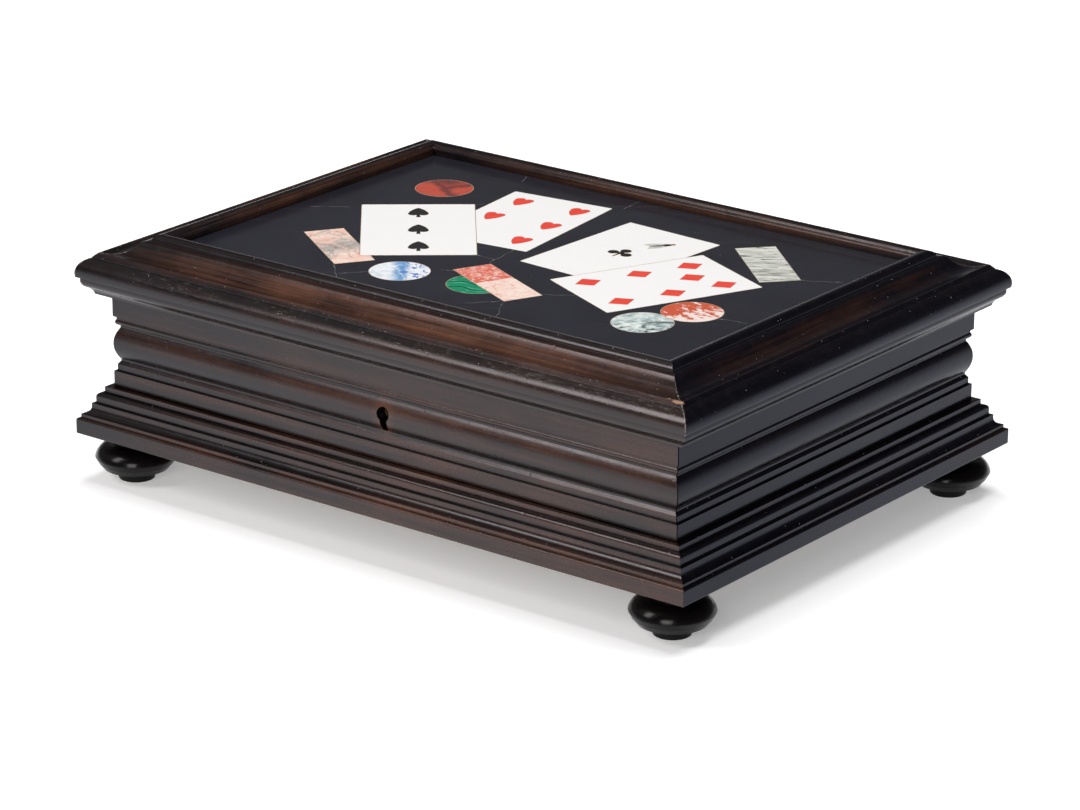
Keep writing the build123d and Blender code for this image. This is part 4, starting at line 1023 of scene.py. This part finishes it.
def studio_world():
    """White to the camera; a low pale band all round, dim above it, and a paler wall high on the left."""
    world = bpy.data.worlds.new("Studio")
    world.use_nodes = True
    room = Nodes(world.node_tree)
    direction = room.add("ShaderNodeTexCoord").outputs["Generated"]
    stops = [(height, (light, light, light * 1.06)) for height, light in ROOM]
    band = room.ramp(room.axis("Z", direction), *stops)
    towards_wall = room.vector("DOT_PRODUCT", direction, WALL_DIRECTION)
    wall = room.span(towards_wall, *WALL_EDGE, 0.0, WALL_GLOW, smooth=True)
    light = room.mix(1.0, band, wall, "ADD")
    rays = room.add("ShaderNodeLightPath").outputs
    seen = room.mix(rays["Is Camera Ray"], light, WHITE)
    background = room.add("ShaderNodeBackground", {"Color": seen})
    room.add("ShaderNodeOutputWorld", {"Surface": background.outputs[0]})
    return world


def lay_floor(size):
    half = size / 2
    mesh = bpy.data.meshes.new("floor")
    mesh.from_pydata([(-half, -half, 0), (half, -half, 0), (half, half, 0), (-half, half, 0)], [],
                     [(0, 1, 2, 3)])
    mesh.materials.append(pale_floor("Pale floor"))
    floor = bpy.data.objects.new("floor", mesh)
    bpy.context.scene.collection.objects.link(floor)


def stand_camera(view):
    """The camera at its place, turned by azimuth, elevation and roll."""
    camera = bpy.data.cameras.new("Camera")
    camera.sensor_width = 36.0
    camera.lens = view.focal_length
    camera.clip_start, camera.clip_end = 0.05, 100.0
    turn, rise, roll = view.azimuth, view.elevation, view.roll
    back = Vector((sin(turn) * cos(rise), -cos(turn) * cos(rise), sin(rise)))
    level_right = Vector((cos(turn), sin(turn), 0))
    level_up = back.cross(level_right)
    right = cos(roll) * level_right + sin(roll) * level_up
    up = -sin(roll) * level_right + cos(roll) * level_up
    eye = bpy.data.objects.new("Camera", camera)
    facing = Matrix((right, up, back)).transposed().to_4x4()
    eye.matrix_world = Matrix.Translation(Vector(view.eye)) @ facing
    bpy.context.scene.collection.objects.link(eye)
    bpy.context.scene.camera = eye


class CARDBOX_OT_stage(bpy.types.Operator):
    """Set up the floor, the lamps and the camera"""
    bl_idname = "cardbox.stage"
    bl_label = "Set the stage"

    def execute(self, context):
        view = context.scene.card_box_stage
        lay_floor(view.floor_size)
        context.scene.world = studio_world()
        for lamp in LAMPS:
            softbox(*lamp)
        stand_camera(view)
        context.scene.view_settings.view_transform = "Standard"
        return {"FINISHED"}


class CARDBOX_PT_panel(bpy.types.Panel):
    bl_idname = "CARDBOX_PT_panel"
    bl_label = "Card box"
    bl_space_type = "VIEW_3D"
    bl_region_type = "UI"
    bl_category = "Card box"

    def draw(self, context):
        for step in STEPS:
            self.layout.operator(step.bl_idname)
        for group in GROUPS:
            settings = getattr(context.scene, group)
            box = self.layout.box()
            for key in settings.bl_rna.properties.keys():
                if key not in ("rna_type", "name"):
                    box.prop(settings, key)


STEPS = (CARDBOX_OT_mouldings, CARDBOX_OT_feet, CARDBOX_OT_carcase, CARDBOX_OT_stones, CARDBOX_OT_mastic,
         CARDBOX_OT_cracks, CARDBOX_OT_stage)
GROUPS = {"card_box_finish": CardBoxFinish, "card_box_joints": CardBoxJoints, "card_box_stage": CardBoxStage}


def register():
    for group in (*GROUPS.values(), *STEPS, CARDBOX_PT_panel):
        bpy.utils.register_class(group)
    for key, group in GROUPS.items():
        setattr(bpy.types.Scene, key, bpy.props.PointerProperty(type=group))


def unregister():
    for key in GROUPS:
        delattr(bpy.types.Scene, key)
    for group in (*GROUPS.values(), *STEPS, CARDBOX_PT_panel):
        bpy.utils.unregister_class(group)


def main():
    register()
    for step in STEPS:
        group, name = step.bl_idname.split(".")
        getattr(getattr(bpy.ops, group), name)()


if __name__ == "__main__":
    main()
